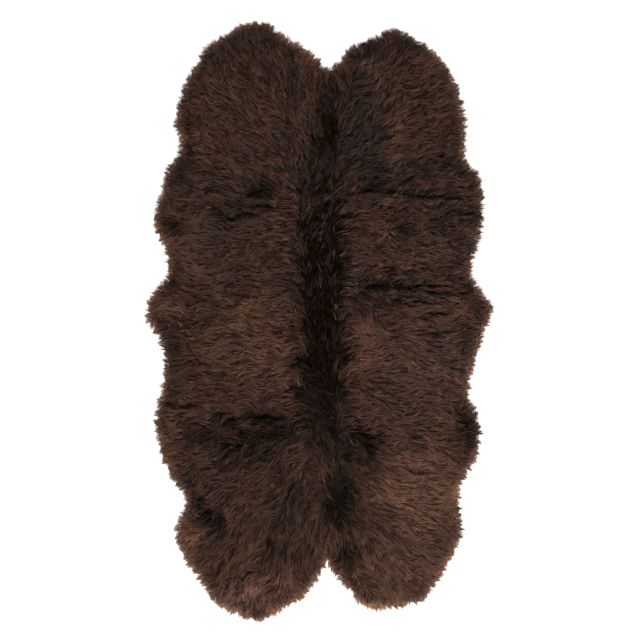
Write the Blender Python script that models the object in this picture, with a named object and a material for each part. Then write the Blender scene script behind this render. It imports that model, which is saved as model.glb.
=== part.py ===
"""A rug of four brown sheepskins, lying flat, in metres with +Z up.

Four tanned hides are sewn edge to edge along a centre seam and a cross seam. Each hide carries its own long
fleece, a lumpy pad of wool that overhangs the hide, comes down to the floor round it and ends in pointed locks
all along the rug's rim.
"""

import math
from collections import namedtuple

import bmesh
import bpy
import numpy as np
from mathutils import Matrix, Vector

MM = 0.001

# Driving sizes
PIECE_GAP = 0.3 * MM
HIDE_THICKNESS = 2.0 * MM
FLEECE_HEIGHT = 47.0 * MM
RIM_HEIGHT = 10.0 * MM
RIM_ROLL = 85.0 * MM

# How far each layer's edge lies inside the tips of the wool, and how round that edge is at a pelt's end
FLEECE_SET_BACK = 14.0 * MM
HIDE_SET_BACK = 40.0 * MM
RECESS_ROOM = 0.7 * MM
END_ROUNDNESS = 6

# The wool parts along the seams
CENTRE_DIP = 20.0 * MM
CENTRE_DIP_WIDTH = 46.0 * MM
CROSS_DIP = 6.0 * MM
CROSS_DIP_WIDTH = 34.0 * MM

# Cells of a fleece's top, how much they crowd towards its edges, and the points of a hide's edge
CELLS_ACROSS = 18
CELLS_ALONG = 32
CROWDING = 0.3
HIDE_CELLS_ALONG = 30
RIM_POINTS = 150

# Rim locks: sizes, and from how little to how much each one varies
LOCK_RADIUS = 9.4 * MM
LOCK_SIZES = (0.6, 1.4)
LOCK_TIP_RADIUS = 1.2 * MM
LOCK_FLATNESS = 0.5
LOCK_SINK = 4.0 * MM
LOCK_REACH = 14.0 * MM
LOCK_REACHES = (0.7, 1.3)
LOCK_LEAN = 0.6
LOCK_LEANS = (0.3, 1.2)
LOCK_ROOM = (0.5 * MM, 3.0 * MM)
LOCK_CLEARANCE = 0.5 * MM
LOCK_SEED = 7
Lock = namedtuple("Lock", "root tip radius")

# How far a recess cutter runs past the faces that it opens
CUT_PAST = 5.0 * MM

SUEDE_COLOUR = (0.130, 0.080, 0.055, 1.0)

# A pelt's cross-sections, in millimetres: how far along from the cross seam, and from where to where the wool
# reaches from the centre seam. Past the notch between two pelts the inner edge leaves the centre seam.
Section = namedtuple("Section", "station inner outer")
Pelt = namedtuple("Pelt", "name side end wool sections")

PELTS = (
    Pelt("upper_left", -1, 1, (0.050, 0.028, 0.022, 1.0), (
        Section(0, 0, 553), Section(37, 0, 558), Section(98, 0, 515), Section(140, 0, 492),
        Section(226, 0, 496), Section(299, 0, 531), Section(369, 0, 519), Section(470, 0, 485),
        Section(555, 0, 448), Section(616, 0, 468), Section(677, 0, 453), Section(765, 0, 418),
        Section(790, 27, 400), Section(833, 61, 377), Section(860, 122, 333), Section(888, 158, 296),
        Section(910, 185, 232),
    )),
    Pelt("upper_right", 1, 1, (0.055, 0.030, 0.022, 1.0), (
        Section(0, 0, 492), Section(45, 0, 503), Section(98, 0, 461), Section(159, 0, 440),
        Section(241, 0, 459), Section(349, 0, 476), Section(439, 0, 465), Section(506, 0, 416),
        Section(573, 0, 423), Section(665, 0, 409), Section(765, 0, 372), Section(790, 31, 352),
        Section(825, 53, 321), Section(851, 105, 287), Section(872, 160, 247), Section(891, 186, 210),
    )),
    Pelt("lower_left", -1, -1, (0.070, 0.036, 0.024, 1.0), (
        Section(0, 0, 550), Section(27, 0, 534), Section(67, 0, 512), Section(113, 0, 500),
        Section(201, 0, 503), Section(290, 0, 528), Section(363, 0, 520), Section(454, 0, 492),
        Section(519, 0, 453), Section(549, 0, 429), Section(601, 0, 447), Section(634, 0, 466),
        Section(723, 0, 442), Section(747, 6, 427), Section(787, 27, 398), Section(836, 64, 367),
        Section(869, 107, 337), Section(897, 160, 290), Section(918, 192, 222),
    )),
    Pelt("lower_right", 1, -1, (0.062, 0.033, 0.023, 1.0), (
        Section(0, 0, 490), Section(58, 0, 470), Section(137, 0, 448), Section(200, 0, 431),
        Section(261, 0, 440), Section(323, 0, 467), Section(403, 0, 461), Section(476, 0, 424),
        Section(573, 0, 400), Section(641, 0, 412), Section(732, 0, 378), Section(752, 6, 367),
        Section(787, 28, 345), Section(820, 58, 323), Section(854, 82, 292), Section(870, 98, 262),
        Section(885, 122, 190),
    )),
)

# Broad hollows in the pile, in millimetres from where the two seams cross, +x right and +y up the rug
Hollow = namedtuple("Hollow", "x y half_width half_length depth")
HOLLOWS = (
    Hollow(-205, -330, 130, 36, 10),
    Hollow(-440, -250, 80, 22, 6),
    Hollow(-345, -600, 34, 62, 10),
    Hollow(143, -320, 40, 46, 10),
    Hollow(55, -540, 40, 110, 10),
    Hollow(-215, 395, 44, 44, 7),
    Hollow(260, 375, 180, 20, 6),
    Hollow(225, 105, 110, 24, 6),
    Hollow(-250, 340, 90, 18, 5),
    Hollow(270, -470, 60, 20, 5),
)

# Waves whose sum makes the pile lumpy: length and heading of each, its start and its share of the lumps
Wave = namedtuple("Wave", "length heading start share")
LUMP_HEIGHT = 5.0 * MM
LUMP_WAVES = (
    Wave(0.230, 25, 0.3, 0.30), Wave(0.170, 100, 1.9, 0.27), Wave(0.128, 160, 4.1, 0.23),
    Wave(0.102, 62, 2.7, 0.20),
)


def clear_scene():
    """Removes whatever the file holds."""
    for obj in list(bpy.data.objects):
        bpy.data.objects.remove(obj, do_unlink=True)


def new_collection(name):
    """A collection linked to the scene."""
    collection = bpy.data.collections.new(name)
    bpy.context.scene.collection.children.link(collection)
    return collection


def new_material(name, colour, roughness):
    """A plain Principled material."""
    material = bpy.data.materials.new(name)
    material.use_nodes = True
    shader = material.node_tree.nodes["Principled BSDF"]
    shader.inputs["Base Color"].default_value = colour
    shader.inputs["Roughness"].default_value = roughness
    shader.inputs["Metallic"].default_value = 0.0
    return material


def new_object(name, bm, collection, material):
    """An object for a finished mesh."""
    bmesh.ops.recalc_face_normals(bm, faces=bm.faces)
    mesh = bpy.data.meshes.new(name)
    bm.to_mesh(mesh)
    bm.free()
    mesh.materials.append(material)
    obj = bpy.data.objects.new(name, mesh)
    collection.objects.link(obj)
    return obj


def smooth_through(knots, values, at):
    """A smooth curve through the knots that never swings past a value: cubic pieces with limited slopes."""
    steps = np.diff(knots)
    rises = np.diff(values) / steps
    slopes = np.zeros(len(knots))
    same_way = rises[:-1] * rises[1:] > 0
    total = rises[:-1] + rises[1:]
    slopes[1:-1][same_way] = (2 * rises[:-1] * rises[1:])[same_way] / total[same_way]
    slopes[0] = rises[0]
    slopes[-1] = rises[-1]
    piece = np.clip(np.searchsorted(knots, at, side="right") - 1, 0, len(steps) - 1)
    t = (at - knots[piece]) / steps[piece]
    start = values[piece] + t * steps[piece] * slopes[piece]
    end = values[piece + 1] - (1 - t) * steps[piece] * slopes[piece + 1]
    ease = t * t * (3 - 2 * t)
    return start * (1 - ease) + end * ease


def edges_at(pelt, along, set_back):
    """Station, inner and outer edge in metres at shares along a pelt.

    The free edges move in by set_back, less towards the rounded end. The seam edges stay half a gap off.
    """
    stations = np.array([row.station for row in pelt.sections]) * MM
    inner = np.array([row.inner for row in pelt.sections]) * MM
    outer = np.array([row.outer for row in pelt.sections]) * MM
    length = stations[-1]
    free = smooth_through(stations, inner, along * length)
    moved = set_back * np.sqrt(1 - along**END_ROUNDNESS)
    leaving = np.clip(free / set_back, 0, 1)
    return (
        PIECE_GAP / 2 + along * (length - set_back - PIECE_GAP / 2),
        PIECE_GAP / 2 + free + leaving * moved,
        smooth_through(stations, outer, along * length) - moved,
    )


def crowd(share):
    """Moves evenly spread shares from 0 to 1 closer together at both ends."""
    return share - CROWDING * math.sin(2 * math.pi * share) / (2 * math.pi)


def panel_grid(pelt, set_back, cells_across, cells_along):
    """A flat grid laid between the pelt's edges."""
    bm = bmesh.new()
    bmesh.ops.create_grid(bm, x_segments=cells_across, y_segments=cells_along, size=0.5)
    along = np.array([crowd(vert.co.y + 0.5) for vert in bm.verts])
    station, inner, outer = edges_at(pelt, np.clip(along, 0, 1), set_back)
    for index, vert in enumerate(bm.verts):
        across = crowd(vert.co.x + 0.5)
        reach = inner[index] + across * (outer[index] - inner[index])
        vert.co = (pelt.side * reach, pelt.end * station[index], 0)
    return bm


def thicken(bm, low, high):
    """Turns a flat grid into a slab between two heights; gives the top's points."""
    under = list(bm.faces)
    raised = bmesh.ops.extrude_face_region(bm, geom=under, use_keep_orig=True)
    top = [item for item in raised["geom"] if isinstance(item, bmesh.types.BMVert)]
    bmesh.ops.translate(bm, verts=bm.verts, vec=(0, 0, low))
    bmesh.ops.translate(bm, verts=top, vec=(0, 0, high - low))
    bmesh.ops.dissolve_faces(bm, faces=under, use_verts=False)
    return top


def widen(bm, room):
    """Moves the sides of a flat slab outwards in plan."""
    bmesh.ops.recalc_face_normals(bm, faces=bm.faces)
    for vert in bm.verts:
        outwards = Vector((vert.normal.x, vert.normal.y, 0)).normalized()
        vert.co += outwards * room


def open_at_seams(bm, pelt):
    """Runs a shape's walls along the two seams on past the seams."""
    for axis, outwards in enumerate((pelt.side, pelt.end)):
        walls = [face for face in bm.faces if max(v.co[axis] * outwards for v in face.verts) < PIECE_GAP]
        moved = bmesh.ops.extrude_face_region(bm, geom=walls)["geom"]
        bmesh.ops.delete(bm, geom=walls, context="FACES")
        shift = Vector((0, 0, 0))
        shift[axis] = -CUT_PAST * outwards
        verts = [item for item in moved if isinstance(item, bmesh.types.BMVert)]
        bmesh.ops.translate(bm, verts=verts, vec=shift)


def lumps_at(x, y):
    """The height of the pile's lumps, as a sum of waves."""
    height = 0.0
    for wave in LUMP_WAVES:
        heading = math.radians(wave.heading)
        phase = (x * math.cos(heading) + y * math.sin(heading)) / wave.length
        height += wave.share * math.sin(2 * math.pi * phase + wave.start)
    return height * LUMP_HEIGHT


def hollows_at(x, y):
    """How far the broad hollows lower the pile."""
    depth = 0.0
    for hollow in HOLLOWS:
        across = (x - hollow.x * MM) / (hollow.half_width * MM)
        along = (y - hollow.y * MM) / (hollow.half_length * MM)
        depth += hollow.depth * MM * math.exp(-(across**2 + along**2))
    return depth


def pile_height(x, y, to_rim):
    """The top of the wool above the floor, at a point that lies to_rim from the rug's free edge.

    The pile rolls down to the rim like a quarter of an ellipse and dips where it parts along the seams.
    """
    outwards = 1 - min(to_rim / RIM_ROLL, 1.0)
    roll = math.sqrt(1 - outwards**2)
    full = FLEECE_HEIGHT + lumps_at(x, y) - hollows_at(x, y)
    full -= CENTRE_DIP * math.exp(-((x / CENTRE_DIP_WIDTH) ** 2))
    full -= CROSS_DIP * math.exp(-((y / CROSS_DIP_WIDTH) ** 2))
    return RIM_HEIGHT + (full - RIM_HEIGHT) * roll


def free_edge(pelt, set_back):
    """The pelt's free edge in plan as points: along the outer side, round the end and back to the notch."""
    station, inner, outer = edges_at(pelt, np.linspace(0, 1, RIM_POINTS), set_back)
    leaves = inner > PIECE_GAP
    out = np.stack([outer, station], 1)
    back = np.stack([inner[leaves], station[leaves]], 1)[::-1]
    return np.concatenate([out, back]) * (pelt.side, pelt.end)


def distance_to(points, x, y):
    """How far a point in plan is from a line of points."""
    start = points[:-1]
    run = np.diff(points, axis=0)
    share = ((np.array((x, y)) - start) * run).sum(1) / (run**2).sum(1)
    nearest = start + run * np.clip(share, 0, 1)[:, None]
    return float(np.hypot(nearest[:, 0] - x, nearest[:, 1] - y).min())


def lock_gap(lock, other):
    """The least room between two neighbouring locks at their roots, middles and tips."""
    room = []
    for share in (0, 0.5, 1):
        between = lock.root.lerp(lock.tip, share) - other.root.lerp(other.tip, share)
        radius = (lock.radius + other.radius) * (1 - share) + 2 * LOCK_TIP_RADIUS * share
        room.append(between.length - radius)
    return min(room)


def add_lock(bm, lock):
    """Adds a pointed lock of three sides that lies on the floor on one of them; gives its points.

    Its cross-sections stay upright, so that its lower side is level from the root to the tip.
    """
    half_down = 0.5 * LOCK_FLATNESS
    root = lock.root + Vector((0, 0, lock.radius * half_down))
    tip = lock.tip + Vector((0, 0, LOCK_TIP_RADIUS * half_down))
    heading = (lock.tip - lock.root).normalized()
    across = Vector((-heading.y, heading.x, 0))
    up = Vector((0, 0, LOCK_FLATNESS))
    turn = Matrix((across, up, tip - root)).transposed().to_4x4()
    made = bmesh.ops.create_cone(
        bm, cap_ends=True, segments=3, radius1=lock.radius, radius2=LOCK_TIP_RADIUS, depth=1,
        matrix=Matrix.Translation((root + tip) / 2) @ turn,
    )
    for vert in made["verts"]:
        if vert.co.z < LOCK_TIP_RADIUS / 10:
            vert.co.z = 0
    return made["verts"]


def rim_locks(pelt, rng):
    """The locks that stand out all along the pelt's free edge, clear of one another and of the next pelts."""
    rim = free_edge(pelt, FLEECE_SET_BACK)
    travelled = np.concatenate([[0], np.cumsum(np.hypot(*np.diff(rim, axis=0).T))])
    bm = bmesh.new()
    last = None
    at = 0.0
    while True:
        size = rng.uniform(*LOCK_SIZES)
        radius = LOCK_RADIUS * size
        at += radius + rng.uniform(*LOCK_ROOM)
        if at > travelled[-1]:
            break
        around = at + np.array((-1, 0, 1)) * LOCK_RADIUS
        x = np.interp(around, travelled, rim[:, 0])
        y = np.interp(around, travelled, rim[:, 1])
        outward = Vector((y[2] - y[0], x[0] - x[2], 0)).normalized() * pelt.side * pelt.end
        lean = Vector((pelt.side, pelt.end * (0.2 + abs(y[1])), 0)).normalized()
        heading = (outward + lean * LOCK_LEAN * rng.uniform(*LOCK_LEANS)).normalized()
        reach = LOCK_REACH * rng.uniform(*LOCK_REACHES) * math.sqrt(size)
        foot = Vector((x[1], y[1], 0))
        lock = Lock(foot - heading * LOCK_SINK, foot + heading * reach, radius)
        if last and lock_gap(lock, last) < LOCK_CLEARANCE:
            at -= radius - LOCK_CLEARANCE
            continue
        at += radius
        verts = add_lock(bm, lock)
        clear = min(min(v.co.x * pelt.side, v.co.y * pelt.end) for v in verts)
        if clear < LOCK_CLEARANCE:
            bmesh.ops.delete(bm, geom=verts, context="VERTS")
            continue
        last = lock
    return bm


def add_cutter(fleece, name, bm, operation, guides, material):
    """Joins a shape to a fleece, or takes it out of it."""
    shape = new_object(name, bm, guides, material)
    shape.hide_render = True
    shape.display_type = "WIRE"
    step = fleece.modifiers.new(name, "BOOLEAN")
    step.operation = operation
    step.object = shape


def add_hide(pelt, rug, suede):
    """The tanned skin, a flat sheet with straight edges along the two seams."""
    bm = panel_grid(pelt, HIDE_SET_BACK, 1, HIDE_CELLS_ALONG)
    thicken(bm, 0, HIDE_THICKNESS)
    new_object("hide_" + pelt.name, bm, rug, suede)


def add_fleece(pelt, rug, guides, wool, rng):
    """The pad of wool on one hide, with its rim locks joined on and a recess below for the hide."""
    bm = panel_grid(pelt, FLEECE_SET_BACK, CELLS_ACROSS, CELLS_ALONG)
    rim = free_edge(pelt, FLEECE_SET_BACK)
    for vert in thicken(bm, 0, FLEECE_HEIGHT):
        vert.co.z = pile_height(vert.co.x, vert.co.y, distance_to(rim, vert.co.x, vert.co.y))
    fleece = new_object("fleece_" + pelt.name, bm, rug, wool)
    fleece.data.shade_smooth()
    add_cutter(fleece, "rim_locks_" + pelt.name, rim_locks(pelt, rng), "UNION", guides, wool)

    recess = panel_grid(pelt, HIDE_SET_BACK, 1, HIDE_CELLS_ALONG)
    thicken(recess, -CUT_PAST, HIDE_THICKNESS + PIECE_GAP)
    widen(recess, RECESS_ROOM)
    open_at_seams(recess, pelt)
    add_cutter(fleece, "recess_" + pelt.name, recess, "DIFFERENCE", guides, wool)


def centre_on_origin(rug, guides):
    """Moves everything so that the world's origin is at the bottom centre of the rug's box."""
    bpy.context.view_layer.update()
    graph = bpy.context.evaluated_depsgraph_get()
    corners = np.array([corner[:] for obj in rug.objects for corner in obj.evaluated_get(graph).bound_box])
    centre = (corners.min(0) + corners.max(0)) / 2
    for obj in (*rug.objects, *guides.objects):
        obj.location = (-centre[0], -centre[1], 0)


def main():
    """Builds the four pelts round the point where the seams cross, then centres the rug."""
    clear_scene()
    rug = new_collection("sheepskin_rug")
    guides = new_collection("guides")
    rng = np.random.default_rng(LOCK_SEED)
    for pelt in PELTS:
        add_hide(pelt, rug, new_material("suede_" + pelt.name, SUEDE_COLOUR, 0.9))
        add_fleece(pelt, rug, guides, new_material("wool_" + pelt.name, pelt.wool, 0.85), rng)
    centre_on_origin(rug, guides)


main()
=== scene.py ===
"""Dresses the sheepskin rug: four pelts of long brown wool on their suede hides, seen from straight above.

Each pelt is a felted bed of wool, three coats of combed strands and a suede hide below. The under coat has
some three and a half thousand short broad strands, the locks have some nine thousand long crimped ones, and
the fringe has some four and a half thousand fine ones along the free edge. All of them are worked out from
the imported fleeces, which give the height of the wool and where it ends.
"""

from __future__ import annotations

import logging
import math
from dataclasses import dataclass, field, replace
from enum import Enum
from typing import NamedTuple, Sequence

import bpy
import numpy as np
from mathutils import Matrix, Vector
from mathutils.bvhtree import BVHTree


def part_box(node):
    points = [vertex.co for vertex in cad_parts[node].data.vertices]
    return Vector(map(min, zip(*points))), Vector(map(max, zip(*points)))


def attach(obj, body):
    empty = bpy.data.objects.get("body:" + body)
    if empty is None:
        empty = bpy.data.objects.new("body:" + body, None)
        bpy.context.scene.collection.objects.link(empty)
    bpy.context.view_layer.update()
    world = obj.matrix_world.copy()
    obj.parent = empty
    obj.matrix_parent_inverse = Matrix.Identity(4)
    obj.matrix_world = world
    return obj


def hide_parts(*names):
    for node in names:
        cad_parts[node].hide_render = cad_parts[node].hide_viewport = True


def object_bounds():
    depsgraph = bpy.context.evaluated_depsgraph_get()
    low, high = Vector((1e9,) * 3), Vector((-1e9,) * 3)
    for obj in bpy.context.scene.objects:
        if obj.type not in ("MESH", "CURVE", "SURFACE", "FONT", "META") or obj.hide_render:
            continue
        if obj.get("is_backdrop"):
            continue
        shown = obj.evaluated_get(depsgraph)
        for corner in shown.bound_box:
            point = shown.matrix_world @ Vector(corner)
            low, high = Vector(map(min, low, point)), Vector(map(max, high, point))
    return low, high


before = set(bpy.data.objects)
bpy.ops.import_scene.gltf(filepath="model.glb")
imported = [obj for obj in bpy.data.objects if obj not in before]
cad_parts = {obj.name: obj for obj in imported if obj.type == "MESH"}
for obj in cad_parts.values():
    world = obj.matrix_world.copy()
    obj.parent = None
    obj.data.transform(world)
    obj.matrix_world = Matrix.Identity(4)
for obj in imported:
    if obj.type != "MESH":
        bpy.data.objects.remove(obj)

LOG = logging.getLogger("rug")
MM = 0.001
TINY = 1e-12

Array = np.ndarray
Colour = tuple[float, float, float]


class Pelt(Enum):
    """The four pelts, by the ends of their node names."""

    UPPER_LEFT = "upper_left"
    UPPER_RIGHT = "upper_right"
    LOWER_LEFT = "lower_left"
    LOWER_RIGHT = "lower_right"

    @property
    def fleece(self) -> str:
        """The name of the pelt's fleece in the frame."""
        return "fleece_" + self.value

    @property
    def hide(self) -> str:
        """The name of the pelt's hide in the frame."""
        return "hide_" + self.value


class Comb(NamedTuple):
    """A place where the wool lies its own way, in millimetres, and its heading in degrees."""

    x: float
    y: float
    reach: float
    heading: float


class Parting(NamedTuple):
    """A crease where the wool opens: all in millimetres, but for its heading in degrees from +X."""

    x: float
    y: float
    half_length: float
    half_width: float
    heading: float
    depth: float


class Valley(NamedTuple):
    """The centre valley at y: the wool's heading in degrees, and the valley's middle and half width."""

    y: float
    heading: float
    x: float
    half_width: float


class Patch(NamedTuple):
    """A soft patch in millimetres, which adds to the wool's tone, its warmth and its roughness."""

    x: float
    y: float
    half_width: float
    half_length: float
    tone: float
    warmth: float
    rough: float


# Places where the wool lies its own way
COMBS = (
    Comb(-287, 644, 80, 148),
    Comb(-180, 644, 70, 140),
    Comb(-165, 872, 55, 98),
    Comb(-58, 827, 50, 80),
    Comb(-302, 369, 70, 175),
    Comb(-260, 265, 38, 150),
    Comb(-200, 215, 42, 245),
    Comb(-255, 160, 40, 205),
    Comb(-439, 64, 40, 150),
    Comb(-440, 10, 36, 125),
    Comb(-500, 40, 40, 178),
    Comb(217, 888, 50, 90),
    Comb(125, 842, 45, 105),
    Comb(232, 796, 45, 55),
    Comb(369, 583, 70, 28),
    Comb(247, 552, 60, 30),
    Comb(278, 201, 90, -15),
    Comb(470, 438, 45, -30),
    Comb(506, 34, 50, 3),
    Comb(-430, -270, 40, 165),
    Comb(-430, -330, 40, 205),
    Comb(-363, -668, 60, 200),
    Comb(-317, -661, 28, 250),
    Comb(-73, -775, 60, 295),
    Comb(150, 18, 42, -60),
    Comb(300, -104, 60, -40),
    Comb(370, -60, 40, 20),
    Comb(278, -546, 80, -5),
    Comb(308, -668, 60, -38),
)

# The valley along the centre seam, from the bottom of the photo to the top
VALLEY = (
    Valley(-900, -85, 40, 50),
    Valley(-680, -80, 50, 45),
    Valley(-590, -80, 55, 5),
    Valley(-560, 120, 50, 5),
    Valley(-480, 120, 30, 50),
    Valley(-240, 122, 12, 66),
    Valley(-100, 98, 8, 72),
    Valley(180, 84, 0, 72),
    Valley(260, 58, -2, 70),
    Valley(400, 62, 5, 60),
    Valley(480, 92, 22, 45),
    Valley(900, 95, 30, 35),
)

# Creases between the locks
PARTINGS = (
    Parting(-150, 500, 70, 8, 8, 5),
    Parting(-290, 339, 40, 6, 2, 14),
    Parting(-165, 350, 32, 6, 6, 13),
    Parting(-262, 311, 26, 6, -4, 12),
    Parting(-213, 323, 30, 5, 5, 12),
    Parting(-187, 396, 30, 22, 0, 14),
    Parting(-452, 285, 26, 20, 80, 12),
    Parting(-396, 580, 95, 6, 95, 10),
    Parting(-436, 118, 14, 12, 0, 12),
    Parting(277, 384, 190, 6, -2, 16),
    Parting(170, 108, 34, 9, 6, 20),
    Parting(285, 106, 110, 4.5, -1, 20),
    Parting(262, 58, 74, 4.5, -4, 19),
    Parting(352, 30, 34, 4.5, -3, 16),
    Parting(370, 84, 90, 4, -1, 12),
    Parting(150, 846, 55, 8, 12, 10),
    Parting(455, 325, 40, 7, 0, 14),
    Parting(253, 272, 24, 8, 0, 12),
    Parting(-418, -257, 60, 8, -4, 16),
    Parting(-200, -290, 120, 9, -4, 13),
    Parting(-263, -378, 40, 8, -6, 14),
    Parting(-150, -350, 60, 8, -2, 11),
    Parting(-330, -598, 68, 13, -47, 20),
    Parting(-162, -677, 16, 8, -70, 12),
    Parting(365, -34, 40, 6, 0, 11),
    Parting(304, -460, 46, 4, -18, 9),
    Parting(145, -362, 60, 16, -58, 12),
    Parting(430, -290, 50, 8, -60, 12),
)

# Soft patches, lighter or darker, redder or greyer, smoother or wilder than the rest; many dark ones, along
# the valley, the partings and the dips, hold painted shade as well as the wool's own darker colour
PATCHES = (
    # The valley: darker wool, with painted shade where its sides slope away from the light
    Patch(28, 590, 34, 130, -1.15, -0.3, 0.3),
    Patch(3, 385, 40, 36, 0.5, 0.0, 0.0),
    Patch(2, 292, 50, 70, 0.35, 0.1, 0.6),
    Patch(4, 210, 76, 270, -1.35, -0.4, 2.1),
    Patch(8, -130, 74, 215, -1.35, -0.4, 0.5),
    Patch(-52, -160, 40, 60, -0.5, -0.2, 0.0),
    Patch(48, -262, 50, 50, -0.4, -0.1, 0.0),
    Patch(40, -400, 60, 60, -0.6, -0.2, 0.2),
    Patch(58, -540, 46, 100, -1.2, 0.3, 0.2),
    # Upper left pelt
    Patch(-155, 850, 80, 40, -0.2, -0.1, 0.2),
    Patch(-115, 830, 40, 30, 0.4, 0.1, 0.0),
    Patch(-62, 815, 40, 34, 0.5, 0.4, 0.0),
    Patch(-96, 775, 36, 50, -0.35, -0.1, 0.0),
    Patch(-280, 600, 170, 190, 0.2, 0.1, 0.15),
    Patch(-430, 560, 36, 170, -0.3, 0.0, 0.2),
    Patch(-187, 396, 36, 34, -0.6, -0.3, 0.0),
    Patch(-268, 318, 60, 50, -0.25, -0.3, 0.6),
    Patch(-445, 292, 26, 36, -0.5, 0.0, 0.0),
    Patch(-287, 232, 45, 45, -0.25, 0.0, 0.2),
    Patch(-350, 210, 110, 110, 0.3, -0.1, -0.4),
    Patch(-490, 45, 44, 50, 0.6, 0.3, 0.0),
    Patch(-80, 45, 50, 36, 0.3, 0.1, 0.2),
    Patch(-235, 22, 70, 40, 0.2, 0.4, 0.0),
    # Upper right pelt
    Patch(140, 850, 70, 34, -0.75, -0.1, 0.5),
    Patch(340, 780, 44, 40, 0.5, 0.3, 0.0),
    Patch(120, 780, 50, 30, 0.35, 0.1, 0.0),
    Patch(354, 700, 44, 60, -0.25, 0.0, 0.0),
    Patch(255, 690, 50, 50, 0.25, 0.1, 0.0),
    Patch(385, 665, 45, 110, 0.1, 0.5, -0.2),
    Patch(110, 560, 60, 160, -0.2, -0.6, 0.0),
    Patch(236, 560, 36, 62, 0.55, 1.0, -0.3),
    Patch(365, 475, 76, 56, -0.2, -0.9, 0.2),
    Patch(172, 462, 66, 80, -0.3, -0.9, 0.2),
    # A dark line of painted shade across the pelt
    Patch(183, 418, 105, 16, -0.5, -0.1, 0.6),
    Patch(272, 350, 34, 18, 0.15, 0.7, 0.3),
    Patch(400, 312, 60, 24, -0.35, -0.2, 0.5),
    Patch(260, 230, 190, 180, 0.1, 0.0, 0.4),
    Patch(100, 226, 30, 26, 0.1, 0.7, 0.0),
    Patch(350, 226, 60, 40, 0.3, 0.0, 0.0),
    Patch(498, 210, 24, 230, -0.6, -0.2, 0.0),
    # Dark lines of painted shade along the partings
    Patch(205, 104, 100, 28, -0.3, -0.2, 0.6),
    Patch(280, 100, 180, 60, -0.35, -0.2, 0.3),
    Patch(380, 60, 120, 70, 0.35, 0.2, 0.2),
    # Lower left pelt
    Patch(-280, -22, 44, 30, 0.35, 0.2, 0.0),
    Patch(-290, -40, 40, 36, 0.3, 0.1, 0.2),
    Patch(-385, -42, 36, 40, -0.3, 0.0, 0.2),
    Patch(-450, -60, 28, 75, -0.35, -0.2, 0.0),
    Patch(-225, -85, 140, 140, 0.32, 0.5, 0.1),
    Patch(-455, -315, 24, 84, 0.6, 0.2, 0.0),
    Patch(-130, -320, 80, 40, -0.3, 0.0, 0.2),
    # A dark band of painted shade where the wool dips and rises again
    Patch(-235, -338, 185, 58, -0.75, -0.2, 0.3),
    Patch(-200, -412, 140, 34, -0.4, -0.1, 0.0),
    Patch(-378, -500, 36, 45, -0.25, 0.0, 0.0),
    Patch(-133, -600, 95, 110, -0.15, -0.3, -0.2),
    Patch(-104, -607, 110, 170, -0.25, 0.0, -0.4),
    Patch(-330, -612, 44, 52, -0.6, -0.1, 0.2),
    Patch(-412, -664, 32, 55, 0.9, 0.8, 0.0),
    Patch(-130, -745, 60, 50, -0.35, 0.0, 0.0),
    Patch(-370, -780, 50, 70, 0.4, 0.7, 0.0),
    Patch(-130, -815, 120, 60, 0.4, 0.4, -0.3),
    Patch(-345, -828, 36, 14, 2.2, -0.4, 0.0),
    Patch(-215, -834, 34, 15, 1.8, 0.0, 0.0),
    Patch(-272, -842, 26, 14, 1.3, -0.5, 0.0),
    Patch(-245, -862, 60, 22, 0.8, 0.2, 0.0),
    # Lower right pelt
    Patch(143, -95, 52, 100, 0.4, 0.7, 0.0),
    Patch(450, -120, 22, 130, -0.4, -0.1, 0.0),
    Patch(310, -150, 160, 190, 0.45, -0.2, 0.0),
    Patch(70, -165, 24, 70, -0.5, -0.1, 0.2),
    Patch(308, -226, 70, 40, -0.2, 0.0, 0.0),
    Patch(470, -326, 30, 66, -0.85, -0.1, 0.4),
    Patch(128, -370, 38, 72, -0.85, -0.1, 0.4),
    Patch(354, -415, 45, 45, -0.25, 0.0, 0.0),
    Patch(138, -492, 48, 56, -0.5, 0.0, 0.0),
    Patch(320, -500, 160, 130, 0.7, 0.35, -0.6),
    Patch(160, -500, 40, 50, -0.35, 0.0, 0.0),
    Patch(440, -510, 24, 130, -0.7, -0.1, 0.0),
    Patch(200, -540, 150, 120, 0.0, 0.0, -0.3),
    Patch(108, -670, 30, 75, -0.6, -0.1, 0.0),
    Patch(92, -718, 38, 80, -0.5, 0.0, 0.0),
    Patch(270, -745, 150, 130, 0.35, 0.2, -0.5),
    Patch(360, -815, 80, 34, -0.5, 0.0, 0.0),
    Patch(190, -868, 80, 20, 1.3, -0.2, 0.0),
)


@dataclass(frozen=True)
class Waves:
    """Smooth unevenness over the rug: a sum of sine waves of random headings and starts.

    Attributes:
        seed: Draws the headings and starts.
        shortest: The shortest wave in metres.
        longest: The longest wave in metres.
        count: How many waves there are.
    """

    seed: int
    shortest: float
    longest: float
    count: int = 14

    def at(self, x: Array, y: Array) -> Array:
        """The unevenness at points, about -1 to 1.

        Args:
            x: Places across the rug.
            y: Places along the rug.

        Returns:
            The mean of sin(2 pi (p . heading) / length + start), scaled to a spread of about one half.
        """
        rng = np.random.default_rng(self.seed)
        heading = rng.uniform(0, 2 * math.pi, self.count)
        length = np.geomspace(self.shortest, self.longest, self.count)
        start = rng.uniform(0, 2 * math.pi, self.count)
        phase = (x[..., None] * np.cos(heading) + y[..., None] * np.sin(heading)) / length
        return np.sin(2 * math.pi * phase + start).sum(-1) / math.sqrt(self.count / 2)


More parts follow.
